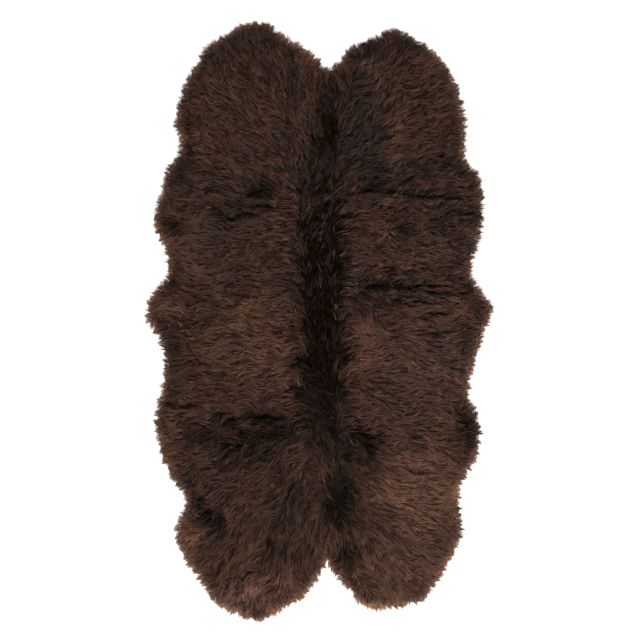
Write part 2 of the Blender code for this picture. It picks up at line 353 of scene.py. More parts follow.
@dataclass
class Ground:
    """How high the wool stands and where it ends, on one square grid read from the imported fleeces.

    Attributes:
        pitch: The side of a cell.
        margin: How far the grid runs past the rug.
        pad_height: Wool lower than this is a lock at the rim and not the pad.
        height_blur: How far the wool's height is smoothed.
        turn_blur: How far the way out is smoothed.
        corner: The grid's lowest x and y.
        height: How high the wool stands at each point.
        depth: How far inside the rim each point is, and less than 0 outside.
        owner: The number of the pelt at each point, or -1.
        out_x: The way out to the rim, across the rug.
        out_y: The way out to the rim, along the rug.
    """

    pitch: float = 5 * MM
    margin: float = 60 * MM
    pad_height: float = 9.9 * MM
    height_blur: float = 7 * MM
    turn_blur: float = 12 * MM
    corner: Array = field(init=False)
    height: Array = field(init=False)
    depth: Array = field(init=False)
    owner: Array = field(init=False)
    out_x: Array = field(init=False)
    out_y: Array = field(init=False)

    def __post_init__(self) -> None:
        """Reads the fleeces from above and works out how deep inside the rim and which way is out."""
        low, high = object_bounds()
        self.corner = np.array(low[:2]) - self.margin
        count = np.ceil((np.array(high[:2]) + self.margin - self.corner) / self.pitch).astype(int) + 1
        self.height = np.zeros(count)
        self.owner = np.full(count, -1)
        for number, pelt in enumerate(Pelt):
            self._read(number, pelt, high[2])
        self.depth = self._distance(self.height > self.pad_height)
        self.height = self._blurred(self.height, self.height_blur)
        slope_x, slope_y = np.gradient(self._blurred(self.depth, self.turn_blur))
        steep = np.hypot(slope_x, slope_y) + TINY
        self.out_x, self.out_y = -slope_x / steep, -slope_y / steep

    def _read(self, number: int, pelt: Pelt, top: float) -> None:
        """Drops a plumb line on one fleece at every grid point of its box.

        Args:
            number: The pelt's number.
            pelt: The pelt.
            top: The height of the rug.
        """
        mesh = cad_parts[pelt.fleece].data
        tree = BVHTree.FromPolygons([v.co for v in mesh.vertices], [p.vertices for p in mesh.polygons])
        low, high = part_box(pelt.fleece)
        first = np.floor((np.array(low[:2]) - self.corner) / self.pitch).astype(int)
        last = np.ceil((np.array(high[:2]) - self.corner) / self.pitch).astype(int)
        for i in range(first[0], last[0] + 1):
            for j in range(first[1], last[1] + 1):
                x, y = self.corner + self.pitch * np.array((i, j))
                hit = tree.ray_cast((x, y, top + self.margin), (0, 0, -1))[0]
                if hit is not None and hit.z > self.height[i, j]:
                    self.height[i, j] = hit.z
                    self.owner[i, j] = number

    def _distance(self, inside: Array) -> Array:
        """How far each grid point is from the rim: more than 0 inside and less outside.

        Args:
            inside: Which points are on the rug.

        Returns:
            A distance for each point, to the nearest point that has a neighbour off the rug.
        """
        near = inside.copy()
        near[1:-1, 1:-1] = inside[2:, 1:-1] & inside[:-2, 1:-1] & inside[1:-1, 2:] & inside[1:-1, :-2]
        rim = np.argwhere(inside & ~near)
        far = np.empty(inside.shape)
        column = np.arange(inside.shape[1])
        for i in range(inside.shape[0]):
            far[i] = np.sqrt(((i - rim[:, 0]) ** 2 + (column[:, None] - rim[:, 1]) ** 2).min(1))
        return np.where(inside, far + 0.5, 0.5 - far) * self.pitch

    def _blurred(self, grid: Array, spread: float) -> Array:
        """A grid blurred by a bell curve, as a product of spectra.

        Args:
            grid: The grid.
            spread: The curve's spread in metres.

        Returns:
            The blurred grid.
        """
        along = [np.fft.fftfreq(n, self.pitch)[:, None] for n in grid.shape]
        square = along[0] ** 2 + along[1].T ** 2
        return np.fft.ifft2(np.fft.fft2(grid) * np.exp(-2 * (math.pi * spread) ** 2 * square)).real

    def read(self, grid: Array, x: Array, y: Array) -> Array:
        """A grid's values between its points, weighted by nearness in x and y.

        Args:
            grid: One of the ground's grids.
            x: Places across the rug.
            y: Places along the rug.

        Returns:
            The values at those places.
        """
        last = np.array(grid.shape) - 1.001  # just short of the last point, so that one more is on the grid
        at_x = np.clip((x - self.corner[0]) / self.pitch, 0, last[0])
        at_y = np.clip((y - self.corner[1]) / self.pitch, 0, last[1])
        i, j = at_x.astype(int), at_y.astype(int)
        u, v = at_x - i, at_y - j
        near = grid[i, j] * (1 - u) * (1 - v) + grid[i + 1, j] * u * (1 - v)
        return near + grid[i, j + 1] * (1 - u) * v + grid[i + 1, j + 1] * u * v

    def owner_at(self, x: Array, y: Array) -> Array:
        """Whose wool grows at each place.

        Args:
            x: Places across the rug.
            y: Places along the rug.

        Returns:
            The numbers of the pelts, or -1 off the rug.
        """
        i = np.clip(np.rint((x - self.corner[0]) / self.pitch).astype(int), 0, self.owner.shape[0] - 1)
        j = np.clip(np.rint((y - self.corner[1]) / self.pitch).astype(int), 0, self.owner.shape[1] - 1)
        return self.owner[i, j]

    def scatter(self, spacing: float, jitter: float, rng: np.random.Generator) -> tuple[Array, Array]:
        """Points over the whole grid in staggered rows, each moved a little at random.

        Args:
            spacing: The distance between neighbours.
            jitter: The most that a point moves, as a share of the spacing.
            rng: Draws the moves.

        Returns:
            The points' x and y.
        """
        size = np.array(self.height.shape) * self.pitch
        row_spacing = spacing * math.sqrt(0.75)
        rows = int(size[1] / row_spacing)
        columns = int(size[0] / spacing)
        j, i = np.meshgrid(np.arange(rows), np.arange(columns), indexing="ij")
        x = self.corner[0] + (i + 0.5 * (j % 2)) * spacing
        y = self.corner[1] + j * row_spacing
        moves = rng.uniform(-jitter, jitter, (2, *x.shape)) * spacing
        return (x + moves[0]).ravel(), (y + moves[1]).ravel()


def valley_at(y: Array, column: str) -> Array:
    """One of the valley's columns, worked out between its rows.

    Args:
        y: Places along the rug, in metres.
        column: The column's name.

    Returns:
        Its value at each place.
    """
    return np.interp(y / MM, [row.y for row in VALLEY], [getattr(row, column) for row in VALLEY])


@dataclass(frozen=True)
class Flow:
    """Which way the wool lies and how it parts.

    Attributes:
        ground: The height of the wool and its rim.
        seam_x: Where the centre seam runs.
        seam_y: Where the cross seam runs.
        spread: How far from the centre seam the wool's outward lean grows by one.
        seam_lean: That lean at the seam itself.
        fan_start: How far from the cross seam the wool starts to fan towards the pelts' ends.
        fan_length: Over how much more of the pelt the fan grows by one.
        fan_power: The power by which it grows.
        fans: How strongly each pelt fans.
        valley_hold: How closely the wool in the valley follows it.
        comb_hold: How closely the wool at a combed place takes its heading.
        rim_pull: How strongly the wool turns square to the rim.
        rim_width: How far inside the rim that is felt.
        part_turn: How strongly the wool turns away from a parting.
        part_reach: How far from a parting that is felt, in half widths of the parting.
        part_change: How much a parting's depth changes from place to place.
        part_shares: The least and the most that is left of its depth.
        wandering: How many millimetres a parting wanders from its straight line.
        sway_turn: How far long waves turn the wool, in radians.
        ruffle_turn: How far short waves turn it.
        sway: The long waves.
        ruffle: The short waves.
        wander: The waves of the partings' lines.
    """

    ground: Ground
    seam_x: float
    seam_y: float
    spread: float = 200 * MM
    seam_lean: float = 0.12
    fan_start: float = 220 * MM
    fan_length: float = 300 * MM
    fan_power: float = 1.2
    fans: tuple[float, float, float, float] = (1.0, 0.45, 1.1, 0.5)
    valley_hold: float = 0.9
    comb_hold: float = 0.95
    rim_pull: float = 2.6
    rim_width: float = 26 * MM
    part_turn: float = 0.9
    part_reach: float = 3.0
    part_change: float = 0.5
    part_shares: tuple[float, float] = (0.2, 1.3)
    wandering: float = 5.0
    sway_turn: float = 0.24
    ruffle_turn: float = 0.22
    sway: Waves = Waves(11, 60 * MM, 240 * MM)
    ruffle: Waves = Waves(12, 16 * MM, 60 * MM, 20)
    wander: Waves = Waves(13, 35 * MM, 150 * MM)

    def heading(self, x: Array, y: Array, pelt: Array) -> Array:
        """The angle at which the wool lies.

        In the valley the wool follows the valley, at the combed places it takes their heading, near the rim
        it turns square to it, and beside a parting it turns away. Elsewhere it leans outwards. Waves make it
        uneven.

        Args:
            x: Places across the rug.
            y: Places along the rug.
            pelt: The number of the pelt at each place.

        Returns:
            Angles in radians from +X.
        """
        turn_x, turn_y = self._leaning(x, y, pelt)
        followed = self.valley_hold * self.in_valley(x, y)
        turn_x, turn_y = self._drawn(turn_x, turn_y, valley_at(y, "heading"), followed)
        for comb in COMBS:
            far = ((x - comb.x * MM) ** 2 + (y - comb.y * MM) ** 2) / (comb.reach * MM) ** 2
            turn_x, turn_y = self._drawn(turn_x, turn_y, comb.heading, self.comb_hold * np.exp(-far))

        depth = np.maximum(self.ground.read(self.ground.depth, x, y), 0)
        rim = self.rim_pull * np.exp(-((depth / self.rim_width) ** 2))
        turn_x = turn_x + rim * self.ground.read(self.ground.out_x, x, y)
        turn_y = turn_y + rim * self.ground.read(self.ground.out_y, x, y)

        wander = self.wandering * self.wander.at(x, y)
        for parting in PARTINGS:
            angle = math.radians(parting.heading)
            along, across = self._beside(parting, x, y, wander)
            widths = across / parting.half_width
            push = np.exp(-((along / parting.half_length) ** 4) - (widths / self.part_reach) ** 2)
            push = push * self.part_turn * np.clip(widths, -1, 1)
            turn_x = turn_x - push * math.sin(angle)
            turn_y = turn_y + push * math.cos(angle)
        waves = self.sway_turn * self.sway.at(x, y) + self.ruffle_turn * self.ruffle.at(x, y)
        return np.arctan2(turn_y, turn_x) + waves

    def _leaning(self, x: Array, y: Array, pelt: Array) -> tuple[Array, Array]:
        """Which way the wool leans where nothing turns it.

        Away from the centre seam it leans out by seam_lean + distance / spread, and past fan_start towards
        the pelt's end by ((distance - fan_start) / fan_length) ** fan_power.

        Args:
            x: Places across the rug.
            y: Places along the rug.
            pelt: The number of the pelt at each place.

        Returns:
            The two parts of a direction of length 1.
        """
        fan = np.array(self.fans)[np.clip(pelt, 0, 3)]
        side = np.where((pelt == 0) | (pelt == 2), -1.0, 1.0)
        end = np.where(pelt < 2, 1.0, -1.0)
        past = np.maximum(np.abs(y - self.seam_y) - self.fan_start, 0) / self.fan_length
        lean_x = side * (self.seam_lean + np.abs(x - self.seam_x) / self.spread)
        lean_y = end * fan * past**self.fan_power
        size = np.hypot(lean_x, lean_y)
        return lean_x / size, lean_y / size

    @staticmethod
    def _drawn(turn_x: Array, turn_y: Array, heading: Array | float, weight: Array) -> tuple[Array, Array]:
        """A direction drawn towards a heading.

        Args:
            turn_x: The direction's part across the rug.
            turn_y: Its part along the rug.
            heading: The heading in degrees.
            weight: How far it is drawn there, from 0 to 1.

        Returns:
            The new direction's two parts.
        """
        angle = np.radians(heading)
        return turn_x * (1 - weight) + weight * np.cos(angle), turn_y * (1 - weight) + weight * np.sin(angle)

    @staticmethod
    def in_valley(x: Array, y: Array) -> Array:
        """How far each place is in the centre valley: a bell curve of the distance to the fourth power.

        Args:
            x: Places across the rug.
            y: Places along the rug.

        Returns:
            From 0 outside to 1 in the valley's middle.
        """
        across = (x / MM - valley_at(y, "x")) / valley_at(y, "half_width")
        return np.exp(-(across**4))

    @staticmethod
    def _beside(parting: Parting, x: Array, y: Array, wander: Array) -> tuple[Array, Array]:
        """Where places lie beside a parting.

        Args:
            parting: The parting.
            x: Places across the rug.
            y: Places along the rug.
            wander: How many millimetres the parting's line is off its straight line there.

        Returns:
            How far along the parting and across it each place is, in millimetres.
        """
        angle = math.radians(parting.heading)
        dx, dy = x / MM - parting.x, y / MM - parting.y
        along = dx * math.cos(angle) + dy * math.sin(angle)
        return along, dy * math.cos(angle) - dx * math.sin(angle) + wander

    def parted(self, x: Array, y: Array) -> Array:
        """How deep the partings are: bell curves across them and flat-topped ones along them.

        Args:
            x: Places across the rug.
            y: Places along the rug.

        Returns:
            A depth in metres for each place.
        """
        depth = np.zeros_like(x)
        wander = self.wandering * self.wander.at(x, y)
        for parting in PARTINGS:
            along, across = self._beside(parting, x, y, wander)
            shape = np.exp(-((along / parting.half_length) ** 4) - (across / parting.half_width) ** 2)
            depth = np.maximum(depth, parting.depth * MM * shape)
        return depth * np.clip(1 + self.part_change * self.ruffle.at(x, y), *self.part_shares)


@dataclass(frozen=True)
class DyeAndShade:
    """How light, how red and how rough the wool is from place to place, with painted shade in its partings,
    its valley and a crease inside the rim, and painted light in the tips at the rim.

    Attributes:
        ground: The height of the wool and its rim.
        flow: The partings, which get painted shade.
        levels: How many steps of tone and of warmth the strands come in.
        tone: The usual tone.
        warmth: The usual warmth.
        patch_tone: How much a patch of tone 1 adds.
        patch_warmth: How much a patch of warmth 1 adds.
        cloud_tone: How much large clouds change the tone.
        blush_warmth: How much large clouds change the warmth.
        end_warmth: How much redder the lower pelts are than usual, and how much greyer the upper ones.
        parting_painted_shade: How much tone a parting takes away for each metre of its depth, as painted
            shade in the parting.
        rim_width: How far inside the rim its lighter and redder tips start.
        rim_tone_and_light: How much lighter those tips are: partly their own paler colour, partly painted
            light coming through the thin hair.
        rim_warmth: How much redder they are: partly their own colour, partly painted light coming through
            them.
        crease_depth: How deep inside the rim lies its crease, where the wool rolls under, darkened by painted
            shade.
        crease_width: Half the crease's width.
        crease_painted_shade: How dark the crease's painted shade is at most.
        crease_start: The more, the more of the rim has the crease.
        spread: How much strands side by side differ in tone.
        spread_shares: The least and the most of that spread, where the wool is smooth and where it is rough.
        warmth_spread: How much strands side by side differ in warmth.
        raggedness: How far the patches' edges wander.
        cloud: The clouds of tone.
        blush: The clouds of warmth.
        crease: Where round the rim the crease is.
        ragged_x: How the patches' edges wander across the rug.
        ragged_y: How they wander along it.
    """

    ground: Ground
    flow: Flow
    levels: int = 32
    tone: float = 0.52
    warmth: float = 0.45
    patch_tone: float = 0.3
    patch_warmth: float = 0.5
    cloud_tone: float = 0.035
    blush_warmth: float = 0.09
    end_warmth: float = 0.04
    parting_painted_shade: float = 16.0
    rim_width: float = 7 * MM
    rim_tone_and_light: float = 0.12
    rim_warmth: float = 0.35
    crease_depth: float = 16 * MM
    crease_width: float = 9 * MM
    crease_painted_shade: float = 0.13
    crease_start: float = 0.3
    spread: float = 0.045
    spread_shares: tuple[float, float] = (0.4, 3.0)
    warmth_spread: float = 0.08
    raggedness: float = 15 * MM
    cloud: Waves = Waves(21, 50 * MM, 300 * MM)
    blush: Waves = Waves(22, 60 * MM, 400 * MM)
    crease: Waves = Waves(23, 60 * MM, 300 * MM)
    ragged_x: Waves = Waves(24, 30 * MM, 160 * MM)
    ragged_y: Waves = Waves(25, 30 * MM, 160 * MM)

    def patched(self, x: Array, y: Array) -> tuple[Array, Array, Array]:
        """What the patches add: bell curves of the distance to the fourth power.

        Args:
            x: Places across the rug.
            y: Places along the rug.

        Returns:
            What is added to the tone, the warmth and the roughness.
        """
        wander_x = x + self.raggedness * self.ragged_x.at(x, y)
        wander_y = y + self.raggedness * self.ragged_y.at(x, y)
        tone, warmth, rough = np.zeros_like(x), np.zeros_like(x), np.zeros_like(x)
        for patch in PATCHES:
            across = (wander_x - patch.x * MM) / (patch.half_width * MM)
            along = (wander_y - patch.y * MM) / (patch.half_length * MM)
            weight = np.exp(-((across**2 + along**2) ** 2))
            tone += self.patch_tone * patch.tone * weight
            warmth += self.patch_warmth * patch.warmth * weight
            rough += patch.rough * weight
        return tone, warmth, rough

    def at(self, x: Array, y: Array, pelt: Array, rng: np.random.Generator) -> tuple[Array, Array]:
        """The tone and warmth of strands at these places.

        Args:
            x: Places across the rug.
            y: Places along the rug.
            pelt: The number of each strand's pelt.
            rng: Draws each strand's own difference.

        Returns:
            Tone and warmth, mostly from 0 to 1.
        """
        tone, warmth, rough = self.patched(x, y)
        parted = self.flow.parted(x, y)
        # Partings are darkened by painted shade, by their depth.
        tone = tone + self.tone + self.cloud_tone * self.cloud.at(x, y) - self.parting_painted_shade * parted
        end = np.where(pelt < 2, -self.end_warmth, self.end_warmth)
        warmth = warmth + self.warmth + self.blush_warmth * self.blush.at(x, y) + end
        depth = self.ground.read(self.ground.depth, x, y)
        # Tips at the rim grow lighter and redder: partly their own paler colour, partly painted light coming
        # through the thin hair.
        tips = np.exp(-((np.maximum(depth, 0) / self.rim_width) ** 2))
        # A crease inside the rim, where the wool rolls under, gets painted shade.
        dark = np.exp(-(((depth - self.crease_depth) / self.crease_width) ** 2))
        dark = dark * np.clip(self.crease.at(x, y) + self.crease_start, 0, 1)
        tone = tone - self.crease_painted_shade * dark + self.rim_tone_and_light * tips
        warmth = warmth + self.rim_warmth * tips
        tone = tone + rng.normal(0, self.spread, x.shape) * np.clip(1 + rough, *self.spread_shares)
        warmth = warmth + rng.normal(0, self.warmth_spread, x.shape)
        return tone, warmth

    def stepped(self, value: Array) -> Array:
        """Values clipped to 0 to 1 and rounded to the steps of tone and warmth."""
        return np.rint(np.clip(value, 0, 1) * (self.levels - 1)) / (self.levels - 1)


@dataclass
class Strands:
    """Many strands of wool as arrays, a row for each strand and a column for each station along it.

    Attributes:
        path: Points of shape (strands, stations, 3), from root to tip.
        half_width: Half the width at each station, with shape (strands, stations).
        tone: How light each strand is.
        warmth: How red each strand is.
        flatness: A strand's thickness as a share of its width.
        sides: How many sides a strand has.
    """

    path: Array
    half_width: Array
    tone: Array
    warmth: Array
    flatness: float
    sides: int = 3

    def of(self, own: Array) -> Strands:
        """Some of the strands.

        Args:
            own: Which ones, true or false for each strand.

        Returns:
            Those strands.
        """
        arrays = ("path", "half_width", "tone", "warmth")
        return replace(self, **{name: getattr(self, name)[own] for name in arrays})

    def vertices(self) -> Array:
        """Rings round each path but its tip, which is one point.

        A ring's points lie at path + width * (across * cos(turn) + up * flatness * sin(turn)), with across
        level and square to the path and up square to both.

        Returns:
            Points of shape (strands, rings * sides + 1, 3).
        """
        run = np.gradient(self.path, axis=1)
        run /= np.linalg.norm(run, axis=2, keepdims=True) + TINY
        across = np.stack([-run[..., 1], run[..., 0], np.zeros(run.shape[:2])], 2)
        across /= np.linalg.norm(across, axis=2, keepdims=True) + TINY
        up = self.flatness * np.cross(run, across)
        turn = math.pi / 2 + np.arange(self.sides) * 2 * math.pi / self.sides
        ring = across[:, :, None] * np.cos(turn)[:, None] + up[:, :, None] * np.sin(turn)[:, None]
        rings = self.path[:, :, None] + ring * self.half_width[..., None, None]
        count = len(self.path)
        return np.concatenate([rings[:, :-1].reshape(count, -1, 3), self.path[:, -1:]], 1)

    def faces(self) -> tuple[Array, Array]:
        """Quads between rings, and triangles at the tip and the root.

        Returns:
            Quads and triangles as rows of point numbers within one strand.
        """
        rings = self.path.shape[1] - 1
        here = np.arange(self.sides)
        following = (here + 1) % self.sides
        low = np.arange(rings - 1)[:, None] * self.sides
        high = low + self.sides
        quads = np.stack([low + here, low + following, high + following, high + here], 2)
        last = (rings - 1) * self.sides
        tip = np.stack([last + here, last + following, np.full(self.sides, rings * self.sides)], 1)
        return quads.reshape(-1, 4), np.concatenate([tip, here[None, ::-1]])

    def charts(self) -> tuple[Array, Array]:
        """Where each face corner lies on a strand's own map: u round the strand and v along it.

        Returns:
            Corners of the quads and of the triangles, each of shape (faces, corners, 2).
        """
        step = 1 / self.sides
        v, u = np.meshgrid(np.linspace(0, 1, self.path.shape[1]), np.arange(self.sides) * step, indexing="ij")
        left, right = np.stack([u, v], 2), np.stack([u + step, v], 2)
        quads = np.stack([left[:-2], right[:-2], right[1:-1], left[1:-1]], 2).reshape(-1, 4, 2)
        tip = np.stack([left[-2], right[-2], (left[-1] + right[-1]) / 2], 1)
        root = np.array([[[1.0, 0.0], [0.5, 0.05], [0.0, 0.0]]])
        return quads, np.concatenate([tip, root])


def new_mesh(name: str, points: Array, faces: Sequence[Array]) -> bpy.types.Mesh:
    """Puts points and faces into a mesh as whole arrays.

    Args:
        name: The mesh's name.
        points: Points of shape (n, 3).
        faces: Arrays of point numbers, each with a row for a face.

    Returns:
        The mesh, shaded smooth.
    """
    mesh = bpy.data.meshes.new(name)
    sizes = np.concatenate([np.full(len(rows), rows.shape[1]) for rows in faces])
    corners = np.concatenate([rows.ravel() for rows in faces])
    mesh.vertices.add(len(points))
    mesh.vertices.foreach_set("co", points.astype(np.float32).ravel())
    mesh.loops.add(len(corners))
    mesh.loops.foreach_set("vertex_index", corners.astype(np.int32))
    mesh.polygons.add(len(sizes))
    mesh.polygons.foreach_set("loop_start", (np.cumsum(sizes) - sizes).astype(np.int32))
    mesh.update(calc_edges=True)
    mesh.shade_smooth()
    return mesh


def add_uv(mesh: bpy.types.Mesh, name: str, places: Array) -> None:
    """Adds a UV map with a place for each face corner."""
    mesh.uv_layers.new(name=name).uv.foreach_set("vector", places.astype(np.float32).ravel())


def add_attribute(mesh: bpy.types.Mesh, name: str, values: Array) -> None:
    """Adds a number for each point."""
    mesh.attributes.new(name, "FLOAT", "POINT").data.foreach_set("value", values.astype(np.float32))


def add_piece(name: str, mesh: bpy.types.Mesh, material: bpy.types.Material) -> bpy.types.Object:
    """Makes a piece of the rug from a mesh.

    Args:
        name: The piece's name.
        mesh: Its mesh, in place.
        material: Its finish.

    Returns:
        The object, riding on the rug's one body.
    """
    mesh.materials.append(material)
    piece = bpy.data.objects.new(name, mesh)
    bpy.context.scene.collection.objects.link(piece)
    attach(piece, "root")
    return piece


class Value:
    """A socket that can stand in a sum."""

    def __init__(self, shader: Shader, socket: bpy.types.NodeSocket) -> None:
        """Wraps a node's output."""
        self.shader = shader
        self.socket = socket

    def _math(self, operation: str, first: Term, second: Term) -> Value:
        """A Math node on two numbers or sockets."""
        return self.shader.node("ShaderNodeMath", {"operation": operation}, {0: first, 1: second})

    def __add__(self, other: Term) -> Value:
        """The sum."""
        return self._math("ADD", self, other)

    __radd__ = __add__

    def __sub__(self, other: Term) -> Value:
        """The difference."""
        return self._math("SUBTRACT", self, other)

    def __rsub__(self, other: Term) -> Value:
        """The difference from a number."""
        return self._math("SUBTRACT", other, self)

    def __mul__(self, other: Term) -> Value:
        """The product."""
        return self._math("MULTIPLY", self, other)

    __rmul__ = __mul__

    def __pow__(self, other: Term) -> Value:
        """The power."""
        return self._math("POWER", self, other)


Term = Value | float
Fill = Term | tuple[float, ...]


class Shader:
    """A material's nodes, written as expressions."""

    def __init__(self, name: str) -> None:
        """Starts a material with a Principled shader.

        Args:
            name: The material's name.
        """
        self.material = bpy.data.materials.new(name)
        self.material.use_nodes = True
        self.tree = self.material.node_tree
        self.surface = self.tree.nodes["Principled BSDF"]

    def node(
        self, kind: str, settings: dict[str, str] | None = None,
        inputs: dict[str | int, Fill] | None = None, output: str | int = 0,
    ) -> Value:
        """Adds a node.

        Args:
            kind: The node's type.
            settings: Its own settings, set first.
            inputs: Numbers, colours or other values for its sockets.
            output: The socket to go on with.

        Returns:
            That output.
        """
        made = self.tree.nodes.new(kind)
        for name, setting in (settings or {}).items():
            setattr(made, name, setting)
        for key, value in (inputs or {}).items():
            self._feed(made.inputs[key], value)
        return Value(self, made.outputs[output])

    def _feed(self, socket: bpy.types.NodeSocket, value: Fill) -> None:
        """Links a value to a socket, or sets the socket's own number or colour.

        Args:
            socket: The socket.
            value: What it gets.
        """
        if isinstance(value, Value):
            self.tree.links.new(value.socket, socket)
        else:
            socket.default_value = value

    def set(self, **inputs: Fill) -> None:
        """Feeds the shader's own sockets, whose names have _ for a space."""
        for key, value in inputs.items():
            self._feed(self.surface.inputs[key.replace("_", " ")], value)

    def attribute(self, name: str) -> Value:
        """A number that the piece's points carry."""
        return self.node("ShaderNodeAttribute", {"attribute_name": name}, output="Fac")

    def chart(self, name: str) -> tuple[Value, Value]:
        """A place on one of the piece's own UV maps.

        Args:
            name: The map's name.

        Returns:
            Its u and its v.
        """
        place = self.node("ShaderNodeUVMap", {"uv_map": name})
        parts = self.node("ShaderNodeSeparateXYZ", None, {0: place}).socket.node
        return Value(self, parts.outputs[0]), Value(self, parts.outputs[1])

    def clamp(self, value: Value) -> Value:
        """A number kept from 0 to 1."""
        return self.node("ShaderNodeClamp", None, {0: value})

    def mix(self, share: Term, first: Fill, second: Fill) -> Value:
        """A colour between two, by sockets 0, 6 and 7 of the Mix node, which are those for colours."""
        return self.node("ShaderNodeMix", {"data_type": "RGBA"}, {0: share, 6: first, 7: second}, output=2)

    def scaled(self, colour: Fill, by: Term) -> Value:
        """A colour times a number."""
        return self.node("ShaderNodeVectorMath", {"operation": "SCALE"}, {0: colour, "Scale": by})

    def noise(self, place: Value, scale: float, detail: float, rough: float) -> Value:
        """Noise from 0 to 1."""
        inputs = {"Vector": place, "Scale": scale, "Detail": detail, "Roughness": rough}
        return self.node("ShaderNodeTexNoise", None, inputs)

    def bump(self, height: Value, depth: float, strength: float) -> None:
        """Raises the surface by a height of 0 to 1, depth metres deep."""
        inputs = {"Height": height, "Distance": depth, "Strength": strength}
        self.set(Normal=self.node("ShaderNodeBump", None, inputs))


def opaque(colour: Colour) -> tuple[float, float, float, float]:
    """A colour with its alpha."""
    return (*colour, 1.0)


@dataclass(frozen=True)
class Wool:
    """Dyed wool: darker at the root, partly its own colour and partly painted shade deep in the fleece,
    redder at the tip, with fine streaks along each strand.

    Attributes:
        deep: The colour of wool in the shade of creases and the valley.
        cool: The greyest wool.
        plain: The most common wool.
        warm: The reddest wool.
        tip: The paler colour that tips fade towards.
        edge: The tan that the fringe's thin tips fade towards, as light comes through them.
        gloss: The colour of its highlights.
        darkest: The tone below which wool has the deep colour.
        lit: The tone above which it has its full colour.
        contrast: The power by which wool grows lighter with its tone.
        root_painted_shade: How dark a root is beside a strand's usual colour: partly the wool's own darker
            roots, partly painted shade deep in the fleece.
        tip_painted_light: How light a tip is beside it, at the other end of that ramp of painted shade and
            light.
        bed_painted_shade: How dark the felted bed is beside the strands, as painted shade in the gaps between
            them.
        roughness: How matt the strands are.
        bed_roughness: How matt the felted bed is.
        streaks: How many times the streaks' noise repeats round a strand, and along it.
        clumps: How many clumps the bed's felt has in a metre.
    """

    deep: Colour = (0.0255, 0.0214, 0.0148)
    cool: Colour = (0.027, 0.0186, 0.0165)
    plain: Colour = (0.045, 0.0222, 0.0158)
    warm: Colour = (0.064, 0.0285, 0.0178)
    tip: Colour = (0.082, 0.045, 0.032)
    edge: Colour = (0.270, 0.130, 0.066)
    gloss: Colour = (0.75, 0.42, 0.28)
    darkest: float = 0.125
    lit: float = 0.4375
    contrast: float = 1.6
    root_painted_shade: float = 0.6
    tip_painted_light: float = 1.1
    bed_painted_shade: float = 0.55
    roughness: float = 0.6
    bed_roughness: float = 0.95
    streaks: tuple[float, float] = (15.0, 2.4)
    clumps: float = 180.0

    def dyed_and_shaded(self, shader: Shader) -> tuple[Value, Value, Value]:
        """The wool's colour by the tone and warmth that its points carry, which hold painted shade and light
        besides the dye.

        Args:
            shader: The material that it is for.

        Returns:
            The colour, the tone and the warmth.
        """
        tone, warmth = shader.attribute("tone"), shader.attribute("warmth")
        red = shader.mix(shader.clamp(warmth * 2.0 - 1.0), opaque(self.plain), opaque(self.warm))
        full = shader.mix(shader.clamp(warmth * 2.0), opaque(self.cool), red)
        rise = 1 / (self.lit - self.darkest)
        lit = shader.clamp(tone * rise - self.darkest * rise)
        return shader.mix(lit, opaque(self.deep), full), tone, warmth

    def strands(self, name: str, tip: Colour, fade: float) -> bpy.types.Material:
        """The finish of strands, which have a map named wool.

        Args:
            name: The material's name.
            tip: The colour that the strands fade towards.
            fade: How strongly they fade, as a share of the cube of how far along they are.

        Returns:
            The material.
        """
        shader = Shader(name)
        base, tone, warmth = self.dyed_and_shaded(shader)
        round_it, along = shader.chart("wool")
        tipped = shader.mix(shader.clamp(along**3.0 * fade), base, opaque(tip))
        seed = tone * 37.0 + warmth * 91.0
        streaks = {0: round_it * self.streaks[0], 1: along * self.streaks[1], 2: seed}
        place = shader.node("ShaderNodeCombineXYZ", None, streaks)
        streak = shader.noise(place, scale=1.0, detail=2.0, rough=0.6)
        # Painted shade deep in the fleece: a strand is darkest at its root and lightest at its tip, partly
        # also the wool's own darker roots.
        shade = self.root_painted_shade + along**0.7 * (self.tip_painted_light - self.root_painted_shade)
        light = (tone * 2.0) ** self.contrast * shade
        shader.set(
            Base_Color=shader.scaled(tipped, light * (0.2 + 1.6 * streak)),
            Roughness=self.roughness,
            Specular_IOR_Level=0.2,
            Specular_Tint=opaque(self.gloss),
        )
        shader.bump(streak, depth=0.4 * MM, strength=0.5)
        return shader.material

    def bed(self, name: str) -> bpy.types.Material:
        """The finish of the felted bed between the strands, on object coordinates in metres.

        Args:
            name: The material's name.

        Returns:
            The material.
        """
        shader = Shader(name)
        base, tone, _ = self.dyed_and_shaded(shader)
        place = shader.node("ShaderNodeTexCoord", output="Object")
        clumps = shader.noise(place, scale=self.clumps, detail=4.0, rough=0.65)
        # The bed is darker than the strands by painted shade for the gaps between them.
        light = (tone * 2.0) ** self.contrast * self.bed_painted_shade
        shader.set(
            Base_Color=shader.scaled(base, light * (0.3 + 1.4 * clumps)),
            Roughness=self.bed_roughness,
            Specular_IOR_Level=0.1,
        )
        shader.bump(clumps, depth=3 * MM, strength=1.0)
        return shader.material


